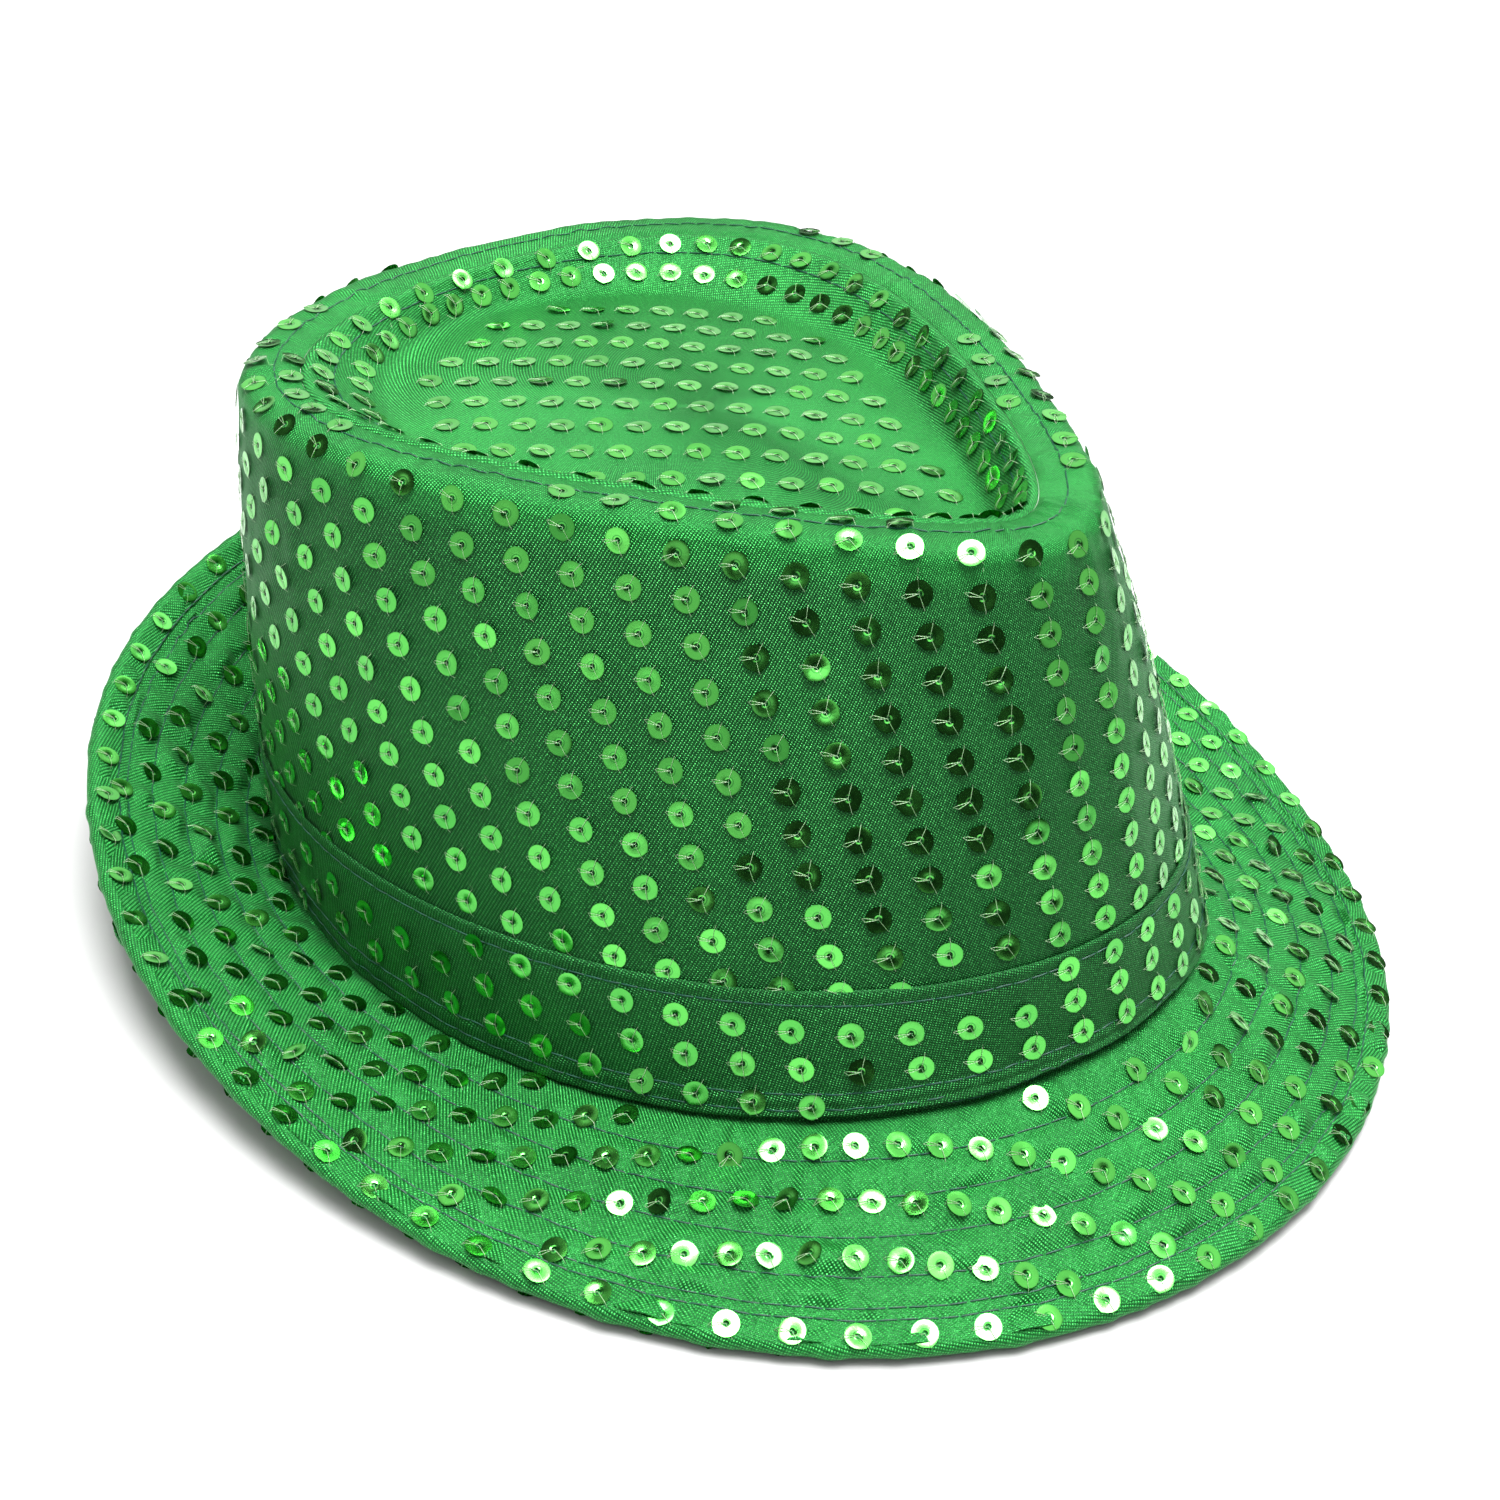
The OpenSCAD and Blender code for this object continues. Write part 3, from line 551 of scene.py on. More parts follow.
def buildTipFabric():
    f = tipFabric
    a = ring(f["columns"])
    rim = np.linspace(5.15, 6.5, 3)
    p = clothStack(tipRows(a, 0.0, f["wallRows"], f["floorRows"], rim), f["softening"])
    s, aa = lengthsDown(p), spread(a, p)
    near = np.exp(-np.abs(s - f["stitchRow"]) / 4)
    d = f["puff"] + f["edgeRoll"] * hump(s - 2.0, 1.3)
    d = d + f["wallPucker"] * near * ripples(31, aa, s, 14, (40, 100), (0, 0.5))
    inFloor = np.clip((s - 12) / 10, 0, 1)
    x, y = p[..., 0], p[..., 1]
    slow = np.cos(x * 0.11 + 1.3) * np.cos(y * 0.07 - 0.4) + 0.6 * np.cos(x * 0.05 - y * 0.13)
    d = d + inFloor * f["floorWave"] * slow
    d = d - f["stitchSink"] * hump(s - f["stitchRow"], 0.6)
    d = np.maximum(d, -0.03) * np.clip(s / 0.8, 0, 1)
    p = moved(p, d)
    p[-1] = p[-1].mean(0)
    p[0, :, 2] -= 0.35
    return makeCloth("tipFabric", p, satinThick, tipSatin, ["tip_fabric"],
        around=360.0)


hatBand = dict(columns=600, rows=30, thick=0.5, puff=0.22, footLift=3.0, footOut=1.5,
    frontWidth=62, waveShare=0.8, wrinkle=0.1, rowSink=0.26, seamAt=196, seamGroove=0.4,
    seamRaise=0.25, seamReach=92)


def buildBand():
    f = hatBand
    h = hatShape
    a = ring(f["columns"])
    heights = np.concatenate([[0.0, 0.25], np.linspace(0.7, h["bandHeight"] - 0.5, f["rows"]),
        [h["bandHeight"] - 0.12, h["bandHeight"]]])
    outs = np.full(len(heights), 0.85)
    outs[0], outs[1], outs[-2], outs[-1] = 0.6, 0.78, 0.74, 0.5
    # the foot stands a little off the brim across the front
    front = hump((a + 180) % 360 - 180, f["frontWidth"])
    p = clothStack([wallPoint(a, (z + f["footLift"] * front * np.exp(-z / 3)) / sideHeight,
        o + f["footOut"] * front * math.exp(-z / 5)) for z, o in zip(heights, outs)])
    s, aa = lengthsDown(p), spread(a, p)
    z = np.broadcast_to(heights[:, None], s.shape)
    d = crownWave(aa, s) * f["waveShare"] + f["puff"]
    channel = hump(z - 4.2, 1.4) * 0.2 + hump(z - 14, 6) * 0.12
    wrinkle = ripples(41, aa, s, 16, (50, 120), (0.05, 0.6))
    nearRow = sum(np.exp(-np.abs(z - r) / 2.2) for r in h["bandRows"])
    d = d + channel + f["wrinkle"] * np.clip(nearRow, 0, 1.2) * wrinkle
    for r in h["bandRows"]:
        d = d - f["rowSink"] * hump(z - r, 0.55)
    backWay = ((aa % 360) - f["seamAt"]) * math.pi / 180 * f["seamReach"]
    d = d - f["seamGroove"] * hump(backWay, 0.7) + f["seamRaise"] * hump(np.abs(backWay) - 2, 1.5)
    p = moved(p, np.maximum(d, -0.02))
    return makeCloth("hatBand", p, f["thick"], bandSatin, ["hat_band"])


brimFabric = dict(columns=640, channel=0.6, slowShare=0.4, pucker=0.45, fold=0.7, foldFrom=0.4,
    creaseAt=24)


def brimDistances(rows):
    h = hatShape
    inside = np.array([h["flangeIn"], -2.0, -1.0, 0.0])
    return np.concatenate([inside, np.linspace(0.4, h["brimWidth"] - 1.6, rows)])


def brimRelief(aa, d, seed):
    # channels that swell between the rows of stitching, puckered along each row
    f = brimFabric
    h = hatShape
    lines = np.array([0.0, *h["brimRows"], h["brimWidth"] - h["ditchRow"] - 0.6,
        h["brimWidth"] + 4])
    k = np.clip(np.searchsorted(lines, d, side="right") - 1, 0, len(lines) - 2)
    share = np.clip((d - lines[k]) / (lines[k + 1] - lines[k]), 0, 1)
    swell = np.sin(np.pi * share) ** 0.6
    width = np.clip((lines[k + 1] - lines[k]) / 7.4, 0.4, 1.0)
    phase = k * 1.7
    pucker = ripples(seed, aa + phase * 7, d, 18, (70, 150), (0.0, 0.35))
    slow = ripples(seed + 1, aa + phase * 13, d, 8, (14, 50), (0.0, 0.3))
    relief = f["channel"] * width * swell * (1 + f["slowShare"] * slow)
    fold = ripples(seed + 2, aa + phase * 9, d, 10, (24, 60), (0.1, 0.5)) * swell
    relief = relief + f["fold"] * np.maximum(fold - f["foldFrom"], 0)
    offLine = np.clip(share * (1 - share) * 12, 0, 1)
    relief = relief + f["pucker"] * (0.35 + 0.65 * (1 - swell)) * pucker * offLine
    return np.where(d > 0, relief, 0)


def upSign(n):
    # whether a brim grid's normals point up or down
    return 1 if n[20, 0, 2] > 0 else -1


def buildBrimFace(name, node, height, faceOut, seed, rows):
    f = brimFabric
    a = ring(f["columns"])
    ds = brimDistances(rows)
    p = clothStack([brimPoint(a, d, height) for d in ds])
    aa = spread(a, p)
    d = np.broadcast_to(ds[:, None], aa.shape)
    n = normalsOf(p)
    face = upSign(n)
    relief = np.maximum(brimRelief(aa, d, seed), 0)
    # one deep crease across the front on the wearer's left
    across = (aa - f["creaseAt"]) * 1.75 + (d - 12) * 0.35
    crease = (hump(across - 1.6, 2.0) - 0.7 * hump(across + 1.4, 1.2)) * hump(d - 11, 11)
    relief = relief + faceOut * crease * np.clip(d / 5, 0, 1)
    move = brimWave(aa, d) * faceOut + relief
    p = p + (move * faceOut * face)[..., None] * n
    return makeCloth(name, p, satinThick, brimSatin, [node], faceOut * face,
        around=700.0)


edgeBinding = dict(columns=700, ripple=0.12, lift=0.55, roll=1.7, swell=0.14, slow=0.1, thick=0.4)


def buildBinding():
    f = edgeBinding
    h = hatShape
    a = ring(f["columns"])
    w, inner = h["brimWidth"], h["brimWidth"] - h["bindingWidth"]
    mid, lift, roll = h["brimBottom"] / 2, f["lift"], f["roll"]
    section = [(inner + 0.12, 0.1), (inner, 0.3), (inner + 0.15, lift - 0.06)]
    section += [(d, lift) for d in np.linspace(inner + 0.5, w - roll, 8)]
    for b in np.linspace(75, -75, 8):
        section.append((w - roll + roll * cosd(b), mid + (lift - mid) * sind(b)))
    bottom = h["brimBottom"] - lift
    section += [(d, bottom) for d in np.linspace(w - roll, inner + 0.5, 8)]
    section += [(inner + 0.15, bottom + 0.06), (inner, bottom + 0.25),
        (inner + 0.12, bottom + 0.45)]
    p = clothStack([brimPoint(a, d, z) for d, z in section])
    aa = spread(a, p)
    ds = np.array([d for d, z in section])[:, None] + 0 * aa
    zs = np.array([z for d, z in section])[:, None] + 0 * aa
    n = normalsOf(p)
    up = normalsOf(clothStack([brimPoint(a, d, 0.0) for d in (38.0, 40.0, 42.0)]))[1]
    up = up * np.sign(up[:1, 2:3])
    outSign = np.sign((n[6] * up).sum(-1).mean())
    n = n * outSign
    away = ds - inner
    fine = ripples(51, aa, away, 18, (70, 150), (0.2, 0.8))
    d = f["swell"] * hump(away - 3.4, 2.2) + f["ripple"] * np.clip(away / 2, 0, 1) * fine
    d = d + f["slow"] * ripples(52, aa, zs, 8, (18, 50), (0, 0.3))
    d = np.maximum(d, -0.02)
    p = p + d[..., None] * n + brimWave(aa, np.minimum(ds, 42))[..., None] * up[None]
    return makeCloth("brimEdgeBinding", p, f["thick"], bindingSatin,
        ["brim_edge_binding"], outSign, around=740.0)


stiffeners = dict(columns=240, under=0.57, crownThick=0.95, brimThick=1.15)


def buildStiffeners():
    f = stiffeners
    a = ring(f["columns"])
    p = clothStack(crownRows(a, -f["under"], 26, False))
    p = moved(p, crownWave(spread(a, p), lengthsDown(p)))
    makeCloth("sideCrownStiffener", p, f["crownThick"], stiffenerFelt,
        ["side_crown_interlining"])
    rim = np.linspace(-2.9, 6.5, 8)
    p = clothStack(tipRows(a, 0.62, 9, 20, rim), 4)
    p[-1] = p[-1].mean(0)
    makeCloth("tipStiffener", p, f["crownThick"], stiffenerFelt,
        ["tip_interlining"])
    ds = np.concatenate([[-3.2, -1.5, 0.0], np.linspace(1, 41.8, 24)])
    p = clothStack([brimPoint(a, d, -f["under"]) for d in ds])
    aa = spread(a, p)
    face = upSign(normalsOf(p))
    p = moved(p, brimWave(aa, ds[:, None] + 0 * aa) * face)
    makeCloth("brimStiffener", p, f["brimThick"], stiffenerFelt,
        ["brim_interlining"], face)


linings = dict(columns=420, thick=0.28, ease=0.25, tipEase=0.2)


def buildLinings():
    f = linings
    a = ring(f["columns"])
    p = clothStack(crownRows(a, -1.6, 40, True))
    s, aa = lengthsDown(p), spread(a, p)
    ease = np.clip(s / 30, 0, 1) * f["ease"] * ripples(61, aa, s, 14, (12, 46), (0.01, 0.12))
    ease = np.minimum(ease - f["ease"], 0.0)
    p = moved(p, crownWave(aa, s) + ease)
    makeCloth("sideCrownLining", p, f["thick"], liningCloth,
        ["side_crown_lining"])
    p = clothStack(tipRows(a, 1.62, 10, 30, np.linspace(5.15, 6.5, 3)), 4)
    x, y = p[..., 0], p[..., 1]
    p[..., 2] -= f["ease"] + f["tipEase"] * np.cos(x * 0.12 + 0.5) * np.cos(y * 0.09)
    p[-1] = p[-1].mean(0)
    makeCloth("tipLining", p, f["thick"], liningCloth, ["tip_lining"])


sweatbandShape = dict(columns=600, thick=1.05, inside=-2.4, wrinkle=0.06, sunk=0.12)


def buildSweatband():
    f = sweatbandShape
    h = hatShape
    a = ring(f["columns"])
    zs = np.concatenate([[0.0, 0.4], np.linspace(1.2, h["sweatbandHeight"] - 1.0, 26),
        [h["sweatbandHeight"] - 0.35, h["sweatbandHeight"]]])
    outs = np.full(len(zs), f["inside"])
    outs[0], outs[-1] = -2.6, -2.65
    p = clothStack([wallPoint(a, z / sideHeight, o) for z, o in zip(zs, outs)])
    s, aa = lengthsDown(p), spread(a, p)
    d = crownWave(aa, s) - f["sunk"]
    d = d + f["wrinkle"] * ripples(71, aa, s, 12, (20, 80), (0.02, 0.3))
    p = moved(p, np.minimum(d, 0.12))
    makeCloth("sweatband", p, f["thick"], sweatbandTape, ["sweatband"])


print("sewing the cloth pieces")
sideCrown = buildSideFabric()
tip = buildTipFabric()
band = buildBand()
brimTop = buildBrimFace("brimUpperFabric", "brim_upper_fabric", 0.0, 1, 43, 58)
brimUnder = buildBrimFace("brimLowerFabric", "brim_lower_fabric", hatShape["brimBottom"], -1, 47,
    44)
binding = buildBinding()
buildStiffeners()
buildLinings()
buildSweatband()


def treeOf(piece):
    # a search tree over the outer side of a piece of cloth
    points = [v.co.copy() for v in piece.data.vertices]
    faces = [list(f.vertices) for f in piece.data.polygons[:faceCounts[piece.name]]]
    return BVHTree.FromPolygons(points, faces)


def islandsOf(node):
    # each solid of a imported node, as an array of its corners
    work = bmesh.new()
    work.from_mesh(nodes[node].data)
    bmesh.ops.remove_doubles(work, verts=work.verts, dist=1e-7)
    work.verts.ensure_lookup_table()
    seen = np.zeros(len(work.verts), bool)
    found = []
    for v in work.verts:
        if seen[v.index]:
            continue
        stack, members = [v], []
        seen[v.index] = True
        while stack:
            w = stack.pop()
            members.append(w.co[:])
            for e in w.link_edges:
                other = e.other_vert(w)
                if not seen[other.index]:
                    seen[other.index] = True
                    stack.append(other)
        found.append(np.array(members))
    work.free()
    return found


def tubeMesh(name, paths, radius, sides, material, replaced):
    # paths is a list of point lists, in metres
    verts, faces, uvs = [], [], []
    for path in paths:
        path = np.asarray(path, float)
        start = len(verts)
        way = np.gradient(path, axis=0)
        way = way / np.maximum(np.linalg.norm(way, axis=1, keepdims=True), 1e-12)
        ref = np.array([0.31, 0.52, 0.79])
        along = lengthsDown(path)
        count = len(path)
        for k in range(count):
            x = unit(np.cross(way[k], ref))
            y = np.cross(way[k], x)
            r = radius * (0.55 if k in (0, count - 1) else 1.0)
            for j in range(sides):
                b = 2 * math.pi * j / sides
                verts.append(path[k] + r * (math.cos(b) * x + math.sin(b) * y))
        for k in range(count - 1):
            for j in range(sides):
                m = (j + 1) % sides
                p, q = start + k * sides, start + (k + 1) * sides
                faces.append((p + j, p + m, q + m, q + j))
                u0, u1 = along[k] * 1000, along[k + 1] * 1000
                uvs += [(u0, j * 0.3), (u0, j * 0.3 + 0.3), (u1, j * 0.3 + 0.3), (u1, j * 0.3)]
        faces.append(tuple(start + j for j in reversed(range(sides))))
        faces.append(tuple(start + (count - 1) * sides + j for j in range(sides)))
        uvs += [(0, 0)] * (2 * sides)
    mesh = bpy.data.meshes.new(name)
    mesh.from_pydata([tuple(v) for v in verts], [], faces)
    layer = mesh.uv_layers.new(name="UVMap")
    layer.data.foreach_set("uv", (np.array(uvs, np.float32) / uvSpan).ravel())
    piece = bpy.data.objects.new(name, mesh)
    bpy.context.collection.objects.link(piece)
    finishPiece(piece, material, replaced, 80)


stitchLook = dict(radius=0.00015, bow=0.00013, sink=-0.0001, stretch=1.3)


def stitchPath(tree, points):
    # follows the cloth for the length of one packed stitch
    look = stitchLook
    middle = points.mean(0)
    way = np.linalg.eigh(np.cov((points - middle).T))[1][:, 2]
    half = np.abs((points - middle) @ way).max()
    path = []
    for share in (-1.0, -0.78, 0.0, 0.78, 1.0):
        at = Vector(middle + way * half * share * look["stretch"])
        place, normal, _, _ = tree.find_nearest(at)
        lift = look["sink"] if abs(share) == 1.0 else look["bow"] * (0.75 if share else 1.0)
        path.append(np.array(place + normal * lift))
    return path


def buildStitches(name, node, tree):
    paths = [stitchPath(tree, points) for points in islandsOf(node)]
    tubeMesh(name, paths, stitchLook["radius"], 4, greenThread, [node])


print("stitching")
crownTree, tipTree, bandTree = treeOf(sideCrown), treeOf(tip), treeOf(band)
brimTopTree, brimUnderTree, bindingTree = treeOf(brimTop), treeOf(brimUnder), treeOf(binding)
sweatTree = treeOf(bpy.data.objects["sweatband"])
buildStitches("ridgeTopstitching", "ridge_topstitching", crownTree)
buildStitches("tipTopstitching", "tip_topstitching", tipTree)
buildStitches("bandTopStitching", "band_top_stitching", bandTree)
buildStitches("bandLowerStitching", "band_lower_stitching", bandTree)
undersidePaths = []
for row in range(1, 6):
    rowNode = "brim_stitch_row_%d" % row
    buildStitches("brimStitchRow%d" % row, rowNode, brimTopTree)
    undersidePaths += [stitchPath(brimUnderTree, points) for points in islandsOf(rowNode)]
buildStitches("bindingStitching", "binding_stitching", bindingTree)
buildStitches("sweatbandStitching", "sweatband_stitching", sweatTree)
tubeMesh("brimUndersideStitching", undersidePaths, stitchLook["radius"], 4, greenThread, [])


sequinShape = dict(radius=2.4, hole=0.56, hub=0.92, hubRise=0.1, cup=0.08, film=0.09, segments=16,
    nib=0.2, lift=0.24, tilt=3.2, bend=0.05, spin=50.0)


def sequinTemplate():
    # two faces in millimetres that meet at the rim and round the hole, and the small nib left
    # where the disc was cut from its strip
    q = sequinShape
    count = q["segments"]
    rings = []
    for radius, z in ((q["hole"], q["hubRise"] - q["film"]), (q["hub"], q["hubRise"]),
            (q["radius"], q["cup"] - q["film"] / 2), (q["hub"], q["hubRise"] - q["film"])):
        ringPoints = []
        for j in range(count):
            b = 2 * math.pi * j / count
            r = radius + (q["nib"] if j == 0 and radius == q["radius"] else 0)
            ringPoints.append((r * math.cos(b), r * math.sin(b), z))
        rings.append(ringPoints)
    points = np.array(rings).reshape(-1, 3)
    faces = []
    for k in range(4):
        m = (k + 1) % 4
        for j in range(count):
            n = (j + 1) % count
            faces.append((k * count + j, m * count + j, m * count + n, k * count + n))
    return points, faces


def axesOn(out, upWay):
    # the ways up and across on a surface that faces out
    up = unit(upWay - out * float(upWay @ out))
    return up, np.cross(up, out)


def sequinFrame(tree, middle, upWay, rng, looseness, lean):
    # the disc's place, the way up and the way it faces; it rests on the cloth all round its rim
    q = sequinShape
    place, normal, _, _ = tree.find_nearest(Vector(middle))
    place, out = np.array(place), np.array(normal)
    up, across = axesOn(out, upWay)
    around = [place]
    for b in np.linspace(0, 2 * math.pi, 9)[1:]:
        rim = place + (math.cos(b) * across + math.sin(b) * up) * q["radius"] / 1000
        around.append(np.array(tree.find_nearest(Vector(rim))[0]))
    flat = np.linalg.svd(around - np.mean(around, 0))[2][2]
    flat = flat * (1 if flat @ out > 0 else -1)
    if flat @ out > 0.85:
        out = flat
        up, across = axesOn(out, upWay)
    tilt = np.radians(rng.normal(0, q["tilt"] * looseness, 2) + [0, lean])
    tilted = unit(out + across * math.tan(tilt[0]) + up * math.tan(tilt[1]))
    swing = q["radius"] * (abs(math.sin(tilt[0])) + abs(math.sin(tilt[1]))) * 0.5
    rest = float(((np.array(around) - place) @ out).max())
    return place + out * (rest + (q["lift"] + swing) / 1000), up, tilted


def finderOf(points):
    finder = KDTree(len(points))
    for k, point in enumerate(points):
        finder.insert(Vector(point), k)
    finder.balance()
    return finder


def flatOn(p):
    return 0.0


def leanOnCrown(p):
    # sequins at the front right of the crown hang with their lower edge off the cloth
    turn = math.degrees(math.atan2(p[0], -p[1]))
    return 9.0 * float(hump(turn + 33, 17)) * float(np.clip((p[2] - 0.05) / 0.02, 0, 1))


def buildSequins(name, node, tree, upOf, seed, looseness=1.0, leanOf=flatOn, extra=()):
    rng = np.random.default_rng(seed)
    q = sequinShape
    template, templateFaces = sequinTemplate()
    verts, faces, tones, uvs, frames = [], [], [], [], []
    centres = [points.mean(0) for points in islandsOf(node)] + list(extra)
    print(node, len(centres), "sequins")
    for middle in centres:
        at, up, out = sequinFrame(tree, middle, upOf(middle), rng, looseness, leanOf(middle))
        y, x = axesOn(out, up)
        local = template.copy()
        spin = math.radians(-100 + rng.normal(0, q["spin"]))
        c, s = math.cos(spin), math.sin(spin)
        local[:, :2] = local[:, :2] @ np.array([[c, s], [-s, c]])
        bendWay = rng.uniform(0, math.pi)
        across = local[:, 0] * math.cos(bendWay) + local[:, 1] * math.sin(bendWay)
        local[:, 2] += rng.normal(0, q["bend"]) * (across / q["radius"]) ** 2
        world = at + (local[:, :1] * x + local[:, 1:2] * y + local[:, 2:] * out) / 1000
        start = len(verts)
        verts += [tuple(p) for p in world]
        faces += [tuple(start + i for i in f) for f in templateFaces]
        tone = float(np.clip(rng.normal(0.6, 0.16), 0, 1))
        tones += [tone] * len(world)
        flat = template[:, :2] / (q["radius"] * 2) + 0.5
        uvs += [tuple(flat[i]) for f in templateFaces for i in f]
        frames.append((at, x, y, out))
    mesh = bpy.data.meshes.new(name)
    mesh.from_pydata(verts, [], faces)
    layer = mesh.uv_layers.new(name="UVMap")
    layer.data.foreach_set("uv", np.array(uvs, np.float32).ravel())
    toneLayer = mesh.attributes.new("tone", "FLOAT", "POINT")
    toneLayer.data.foreach_set("value", np.array(tones, np.float32))
    piece = bpy.data.objects.new(name, mesh)
    bpy.context.collection.objects.link(piece)
    finishPiece(piece, sequinFilm, [node], 35)
    return frames


holdLook = dict(radius=0.000055, over=0.00014, past=3.1, onCloth=-0.00005)


def buildHoldThreads(name, frames, tree, seed):
    # from each hole: one strand up, a double one to the left, and one down to the next sequin
    rng = np.random.default_rng(seed)
    look = holdLook
    reach = sequinShape["radius"] / 1000
    paths = []
    finder = finderOf([f[0] for f in frames])

    def onCloth(at, lift):
        place, normal, _, _ = tree.find_nearest(Vector(at))
        return np.array(place + normal * lift)

    def strand(f, angle):
        at, x, y, out = f
        way = math.cos(angle) * x + math.sin(angle) * y
        return [at + out * 0.00002, at + way * reach * 0.3 + out * look["over"] * 1.4,
            at + way * reach * 1.0 + out * look["over"] * 1.5], way

    for k, f in enumerate(frames):
        at, x, y, out = f
        down = math.radians(-62 + rng.normal(0, 7))
        start, way = strand(f, down)
        nextOne = None
        for place, index, distance in finder.find_range(Vector(at), 0.0095):
            if index == k or distance < 0.006:
                continue
            step = np.array(place) - at
            if step @ -y / distance > 0.86:
                nextOne = frames[index]
        if nextOne is not None:
            endWay = math.radians(78 + rng.normal(0, 8))
            stop, stopWay = strand(nextOne, endWay)
            leave = onCloth(at + way * reach * 1.3, look["onCloth"])
            arrive = onCloth(nextOne[0] + stopWay * reach * 1.25, look["onCloth"])
            middle = onCloth((leave + arrive) / 2 + x * rng.normal(0, 0.00025), look["onCloth"])
            paths.append(start + [leave, middle, arrive] + stop[::-1])
        else:
            paths.append(start + [onCloth(at + way * reach * 1.35, 0.0)])
        left = math.radians(186 + rng.normal(0, 8))
        meet = onCloth(at + (math.cos(left) * x + math.sin(left) * y) * look["past"] / 1000, 0.0)
        for side in (-1, 1):
            path, _ = strand(f, left + side * math.radians(8))
            paths.append(path + [meet])
    tubeMesh(name, paths, look["radius"], 3, clearThread, [])


print("sewing on the sequins")
upright = stood(np.array([0.0, 0.0, 1.0]), False)
clothAngle = math.radians(-45)
acrossThreads = stood(np.array([-math.sin(clothAngle), math.cos(clothAngle), 0.0]), False)


def upTheCrown(p):
    # over the shoulder, up the crown turns in towards the middle of the tip
    level = levelled(p)
    inwards = np.array([-level[0], hatShape["ridge"][2] - level[1], 0.0])
    inwards = stood(unit(inwards), False)
    return upright + 1.5 * float(np.clip((level[2] - 94) / 4, 0, 1)) * inwards


def acrossTheTip(p):
    return acrossThreads + 0.0 * p


seamSequins = dict(gap=10.336, lean=0.3, middle=50.5, step=7.088, frontColumn=-37.6, rimGap=1.3,
    lastBelow=89.0, firstAbove=35.5, seamEnd=177.0, out=0.4)


def levelled(p):
    # the way back of stood, for one point
    h = hatShape
    c, s = math.cos(math.radians(h["standAngle"])), math.sin(math.radians(h["standAngle"]))
    x, y, z = p[0] * 1000, p[1] * 1000 - h["standShift"], p[2] * 1000 - h["standLift"]
    return np.array([x, y * c - z * s, z * c + y * s])


def crownAt(a, height):
    # a point of the side crown fabric at a height measured along the cloth
    a, out = np.array([a]), seamSequins["out"]
    over = height - sideHeight
    if over < 0:
        p = wallPoint(a, np.array([height / sideHeight]), out)
    elif over < shoulderArc:
        p = shoulderPoint(a, over / shoulderArc * 90, out)
    else:
        p = ridgePoint(a, over - shoulderArc - 3.0, out)
    return stood(p[0])


def crownExtras():
    # the columns of sequins run on over the shoulder, and down behind the top edge of the band
    own = seamSequins
    seam = sideHeight + shoulderArc + 3.0
    below = 1.2  # how far inside the cloth's edges the columns end
    angles = own["frontColumn"] + np.linspace(-200, 200, 1601)
    centre, first, last = 800, 160, 1440  # the front column's place, and the part once round

    def lengthsAt(t):
        # distance round the crown from the front column
        wall = wallPoint(angles, np.array([t]), own["out"])
        run = lengthsDown(wall)
        return wall, run - run[centre]

    columns = {}
    for points in islandsOf("side_crown_sequins"):
        x, y, z = levelled(points.mean(0))
        t = z / sideHeight
        for _ in range(3):
            wall, run = lengthsAt(t)
            best = first + np.argmin(np.hypot(wall[first:last, 0] - x, wall[first:last, 1] - y))
            low = float(baseZ(angles[best]))
            t = (z - low) / (sideHeight - low)
        height = t * sideHeight
        k = round((run[best] + own["lean"] * (height - own["middle"])) / own["gap"])
        columns.setdefault(k, []).append(height)
    found = []
    for k, heights in sorted(columns.items()):
        for way, height, limit in ((1, max(heights), seam + hatShape["seamIn"] - below),
                (-1, min(heights), hatShape["bandHeight"] - below)):
            # a column that the back seam cuts short isn't carried on
            if way > 0 and height < own["lastBelow"] or way < 0 and height > own["firstAbove"]:
                continue
            while (height + way * own["step"] - limit) * way < 0:
                height += way * own["step"]
                _, run = lengthsAt(min(height / sideHeight, 1.0))
                along = k * own["gap"] - own["lean"] * (height - own["middle"])
                a = float(np.interp(along, run, angles))
                if abs(height - seam) > own["rimGap"] and abs(a) < own["seamEnd"]:
                    found.append(crownAt(a, height))
    return found


brimLattice = dict(step=7.4, threads=9.9, stagger=4.44, turn=-45.0, root=0.9, edge=36.4,
    apart=4.2, reach=22)


def brimExtras(node, tree, side):
    # the sewn lattice runs on to the foot of the band and to the binding
    own = brimLattice
    finder = finderOf([points.mean(0) for points in islandsOf(node)])
    angles = np.linspace(0, 360, 1441)
    line, away = oval(hatShape["crownBase"], angles), outward(hatShape["crownBase"], angles)
    c, s = math.cos(math.radians(own["turn"])), math.sin(math.radians(own["turn"]))
    down = Vector(stood(np.array([0.0, 0.0, -side]), False))
    found = []
    for i in range(-own["reach"], own["reach"] + 1):
        for j in range(-own["reach"], own["reach"] + 1):
            u, v = i * own["step"] + math.fmod(j, 2) * own["stagger"], j * own["threads"]
            x, y = u * c - v * s, u * s + v * c
            near = np.argmin(np.hypot(line[:, 0] - x, line[:, 1] - y))
            level = float((np.array([x, y]) - line[near]) @ away[near]) - hatShape["brimRoot"]
            slope = hatShape["brimSideAngle"] - hatShape["brimSwing"] * cosd(angles[near])
            if not own["root"] < level / cosd(slope) < own["edge"]:
                continue
            start = Vector(stood(np.array([x, y, side * 60.0])))
            hit = tree.ray_cast(start, down)[0]
            if hit is not None and finder.find(hit)[2] > own["apart"] / 1000:
                found.append(np.array(hit))
    return found


tipRing = dict(count=50, turn=2.0, down=0.16)


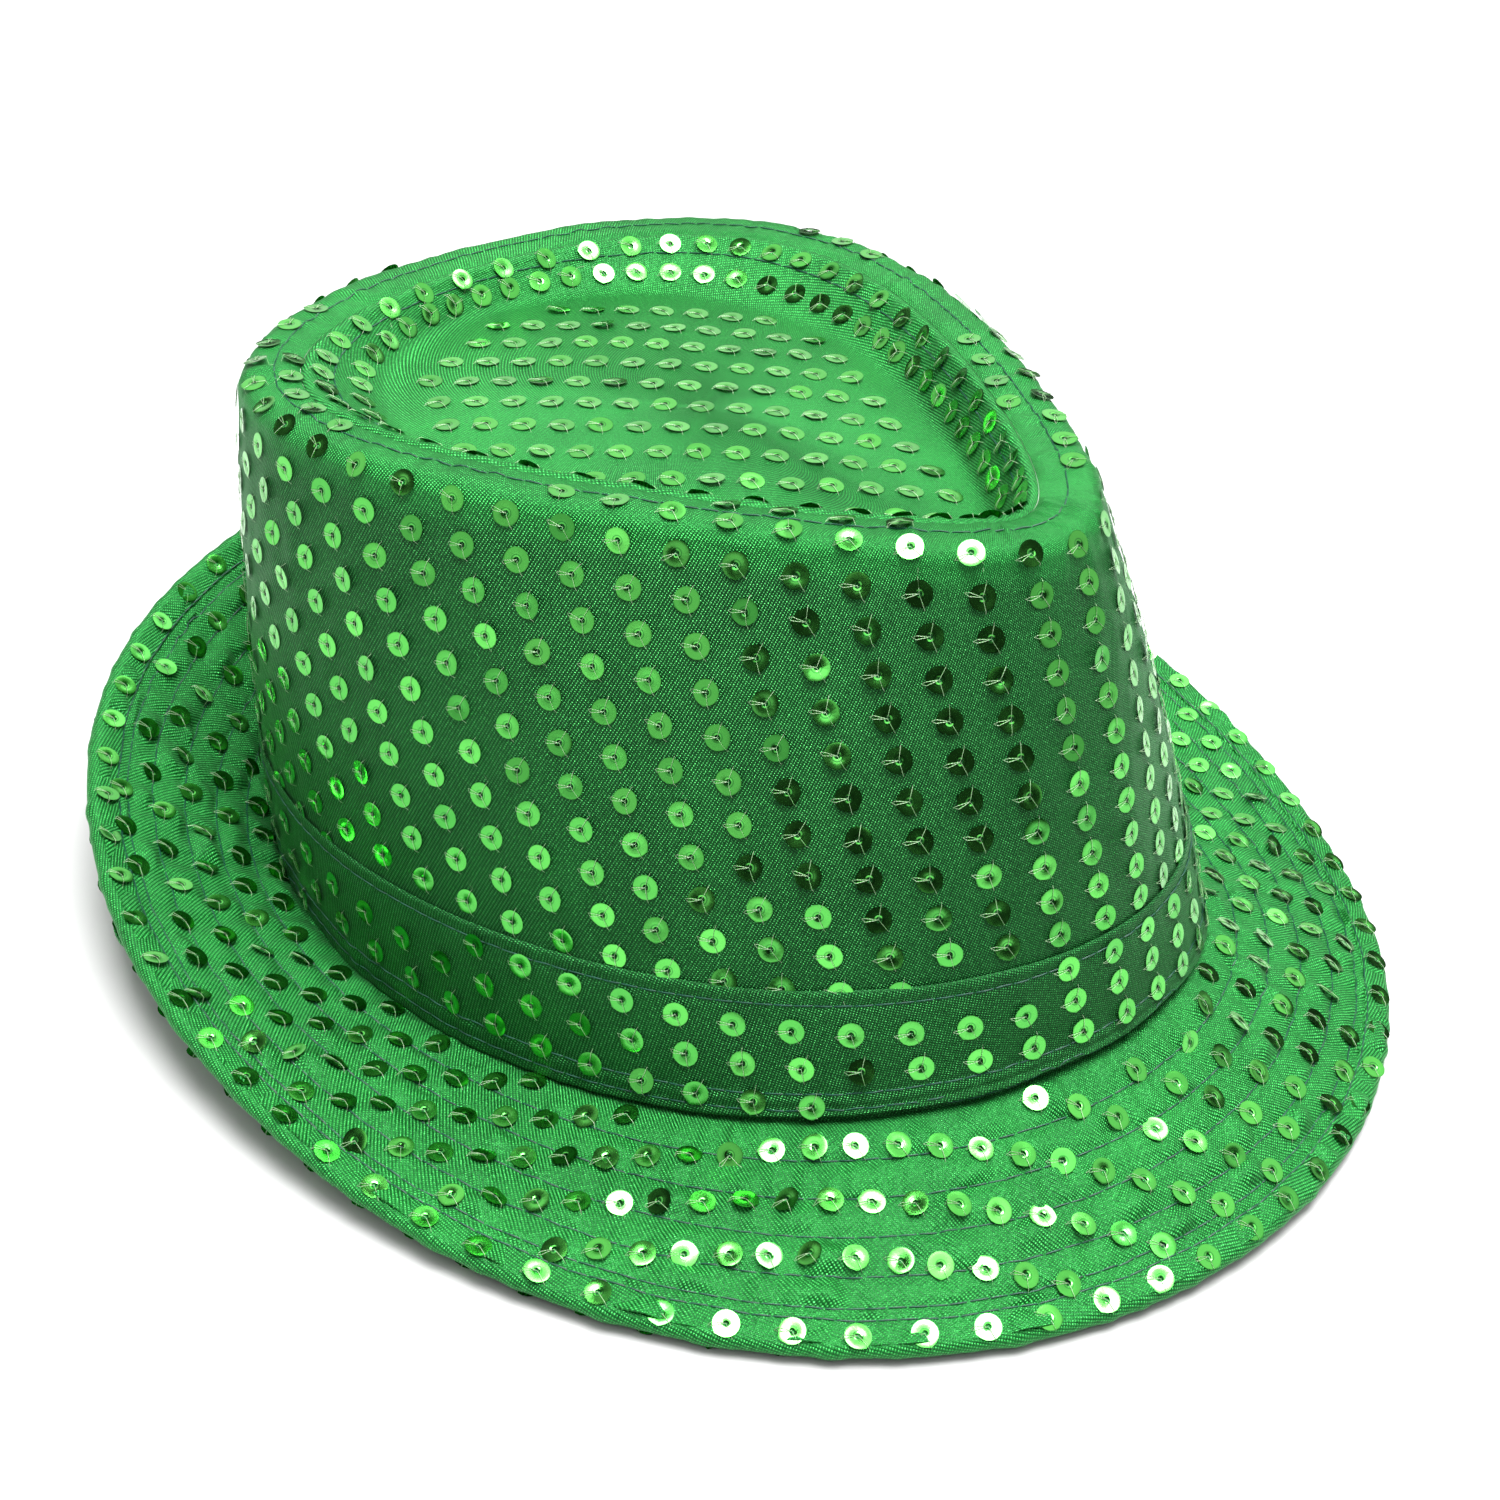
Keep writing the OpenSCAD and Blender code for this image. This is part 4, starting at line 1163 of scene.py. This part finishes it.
def tipExtras():
    # one more ring high on the wall of the dish, where the tip fabric climbs to the seam
    own = tipRing
    angles = 360.0 * np.arange(own["count"]) / own["count"] + own["turn"]
    return list(stood(dishWallPoint(angles, own["down"], 0.0)))


def sewSequins(name, node, tree, upOf, seed, *more):
    frames = buildSequins(name + "Sequins", node, tree, upOf, 100 + seed, *more)
    buildHoldThreads(name + "SequinThread", frames, tree, 200 + seed)


sewSequins("sideCrown", "side_crown_sequins", crownTree, upTheCrown, 1, 1.0, leanOnCrown,
    crownExtras())
sewSequins("band", "band_sequins", bandTree, upTheCrown, 2)
sewSequins("tip", "tip_sequins", tipTree, acrossTheTip, 3, 1.3, flatOn, tipExtras())
sewSequins("brimUpper", "brim_upper_sequins", brimTopTree, acrossTheTip, 4, 1.7, flatOn,
    brimExtras("brim_upper_sequins", brimTopTree, 1))
sewSequins("brimLower", "brim_lower_sequins", brimUnderTree, acrossTheTip, 5, 1.7, flatOn,
    brimExtras("brim_lower_sequins", brimUnderTree, -1))
sewSequins("binding", "binding_sequins", bindingTree, acrossTheTip, 6, 2.0)

label = nodes["care_label"]
label.data.materials.clear()
label.data.materials.append(labelTape)


print("setting the stage")
floorLook = dict(size=6.0, drop=0.0002, paint=(0.48, 0.48, 0.48, 1), roughness=0.9)
bpy.ops.object.select_all(action="DESELECT")
bpy.ops.mesh.primitive_plane_add(size=floorLook["size"],
    location=(0, 0, cadBox[0].z - floorLook["drop"]))
floor = bpy.context.object
floor.name = "floor"
floorPaint, floorTree, floorShader = nodeSet("floorPaint")
feed(floorTree, floorShader, {"Base Color": floorLook["paint"],
    "Roughness": floorLook["roughness"]})
floor.data.materials.append(floorPaint)

viewLook = dict(azimuth=-44.571, elevation=32.107, distance=465.668, roll=1.4, lens=56.508,
    target=(-14.811, -16.612, 34.553))


def wayTo(azimuth, elevation):
    az, el = math.radians(azimuth), math.radians(elevation)
    return math.sin(az) * math.cos(el), -math.cos(az) * math.cos(el), math.sin(el)


def placeCamera():
    v = viewLook
    roll = math.radians(v["roll"])
    back = np.array(wayTo(v["azimuth"], v["elevation"]))
    right = unit(np.cross(-back, [0, 0, 1.0]))
    up = np.cross(right, -back)
    turnedRight = right * math.cos(roll) + up * math.sin(roll)
    turnedUp = up * math.cos(roll) - right * math.sin(roll)
    eye = stood(np.array(v["target"]) + back * v["distance"])
    columns = [stood(c, False) for c in (turnedRight, turnedUp, back)]
    rows = [[*(float(c[k]) for c in columns), float(eye[k])] for k in range(3)]
    camera = bpy.data.cameras.new("camera")
    camera.lens = v["lens"]
    camera.sensor_width = 36
    camera.clip_start = 0.01
    holder = bpy.data.objects.new("camera", camera)
    bpy.context.collection.objects.link(holder)
    holder.matrix_world = Matrix(rows + [[0, 0, 0, 1]])
    bpy.context.scene.camera = holder


placeCamera()


# azimuth and elevation in degrees, distance and size in metres, power in watts
softboxes = dict(
    overheadSoftbox=(-30, 82, 1.4, (0.8, 0.8), 48), frontTopSoftbox=(-50, 60, 1.3, (2.0, 0.9), 13),
    sideTopSoftbox=(75, 50, 1.5, (1.8, 1.3), 9), glintSoftbox=(84, 57, 1.4, (0.3, 0.3), 5),
    backSoftbox=(140, 36, 2.2, (3.0, 2.2), 26), leftSoftbox=(-95, 9, 1.5, (1.5, 0.8), 3),
    farLeftSoftbox=(-150, 12, 1.5, (1.3, 0.8), 3), rightSoftbox=(38, 9, 1.5, (1.7, 0.8), 3))

for name, (azimuth, elevation, distance, size, power) in softboxes.items():
    lamp = bpy.data.lights.new(name, "AREA")
    lamp.shape = "RECTANGLE"
    lamp.size, lamp.size_y = size
    lamp.energy = power
    holder = bpy.data.objects.new(name, lamp)
    bpy.context.collection.objects.link(holder)
    back = Vector(wayTo(azimuth, elevation))
    holder.location = Vector((0, 0, 0.05)) + back * distance
    holder.rotation_mode = "QUATERNION"
    holder.rotation_quaternion = (-back).to_track_quat("-Z", "Y")

bpy.context.scene.view_settings.view_transform = "Standard"

airLook = dict(colour=(1, 1, 1, 1), strength=0.035)
world = bpy.data.worlds.new("studioAir")
bpy.context.scene.world = world
world.use_nodes = True
feed(world.node_tree, world.node_tree.nodes["Background"], {0: airLook["colour"],
    1: airLook["strength"]})
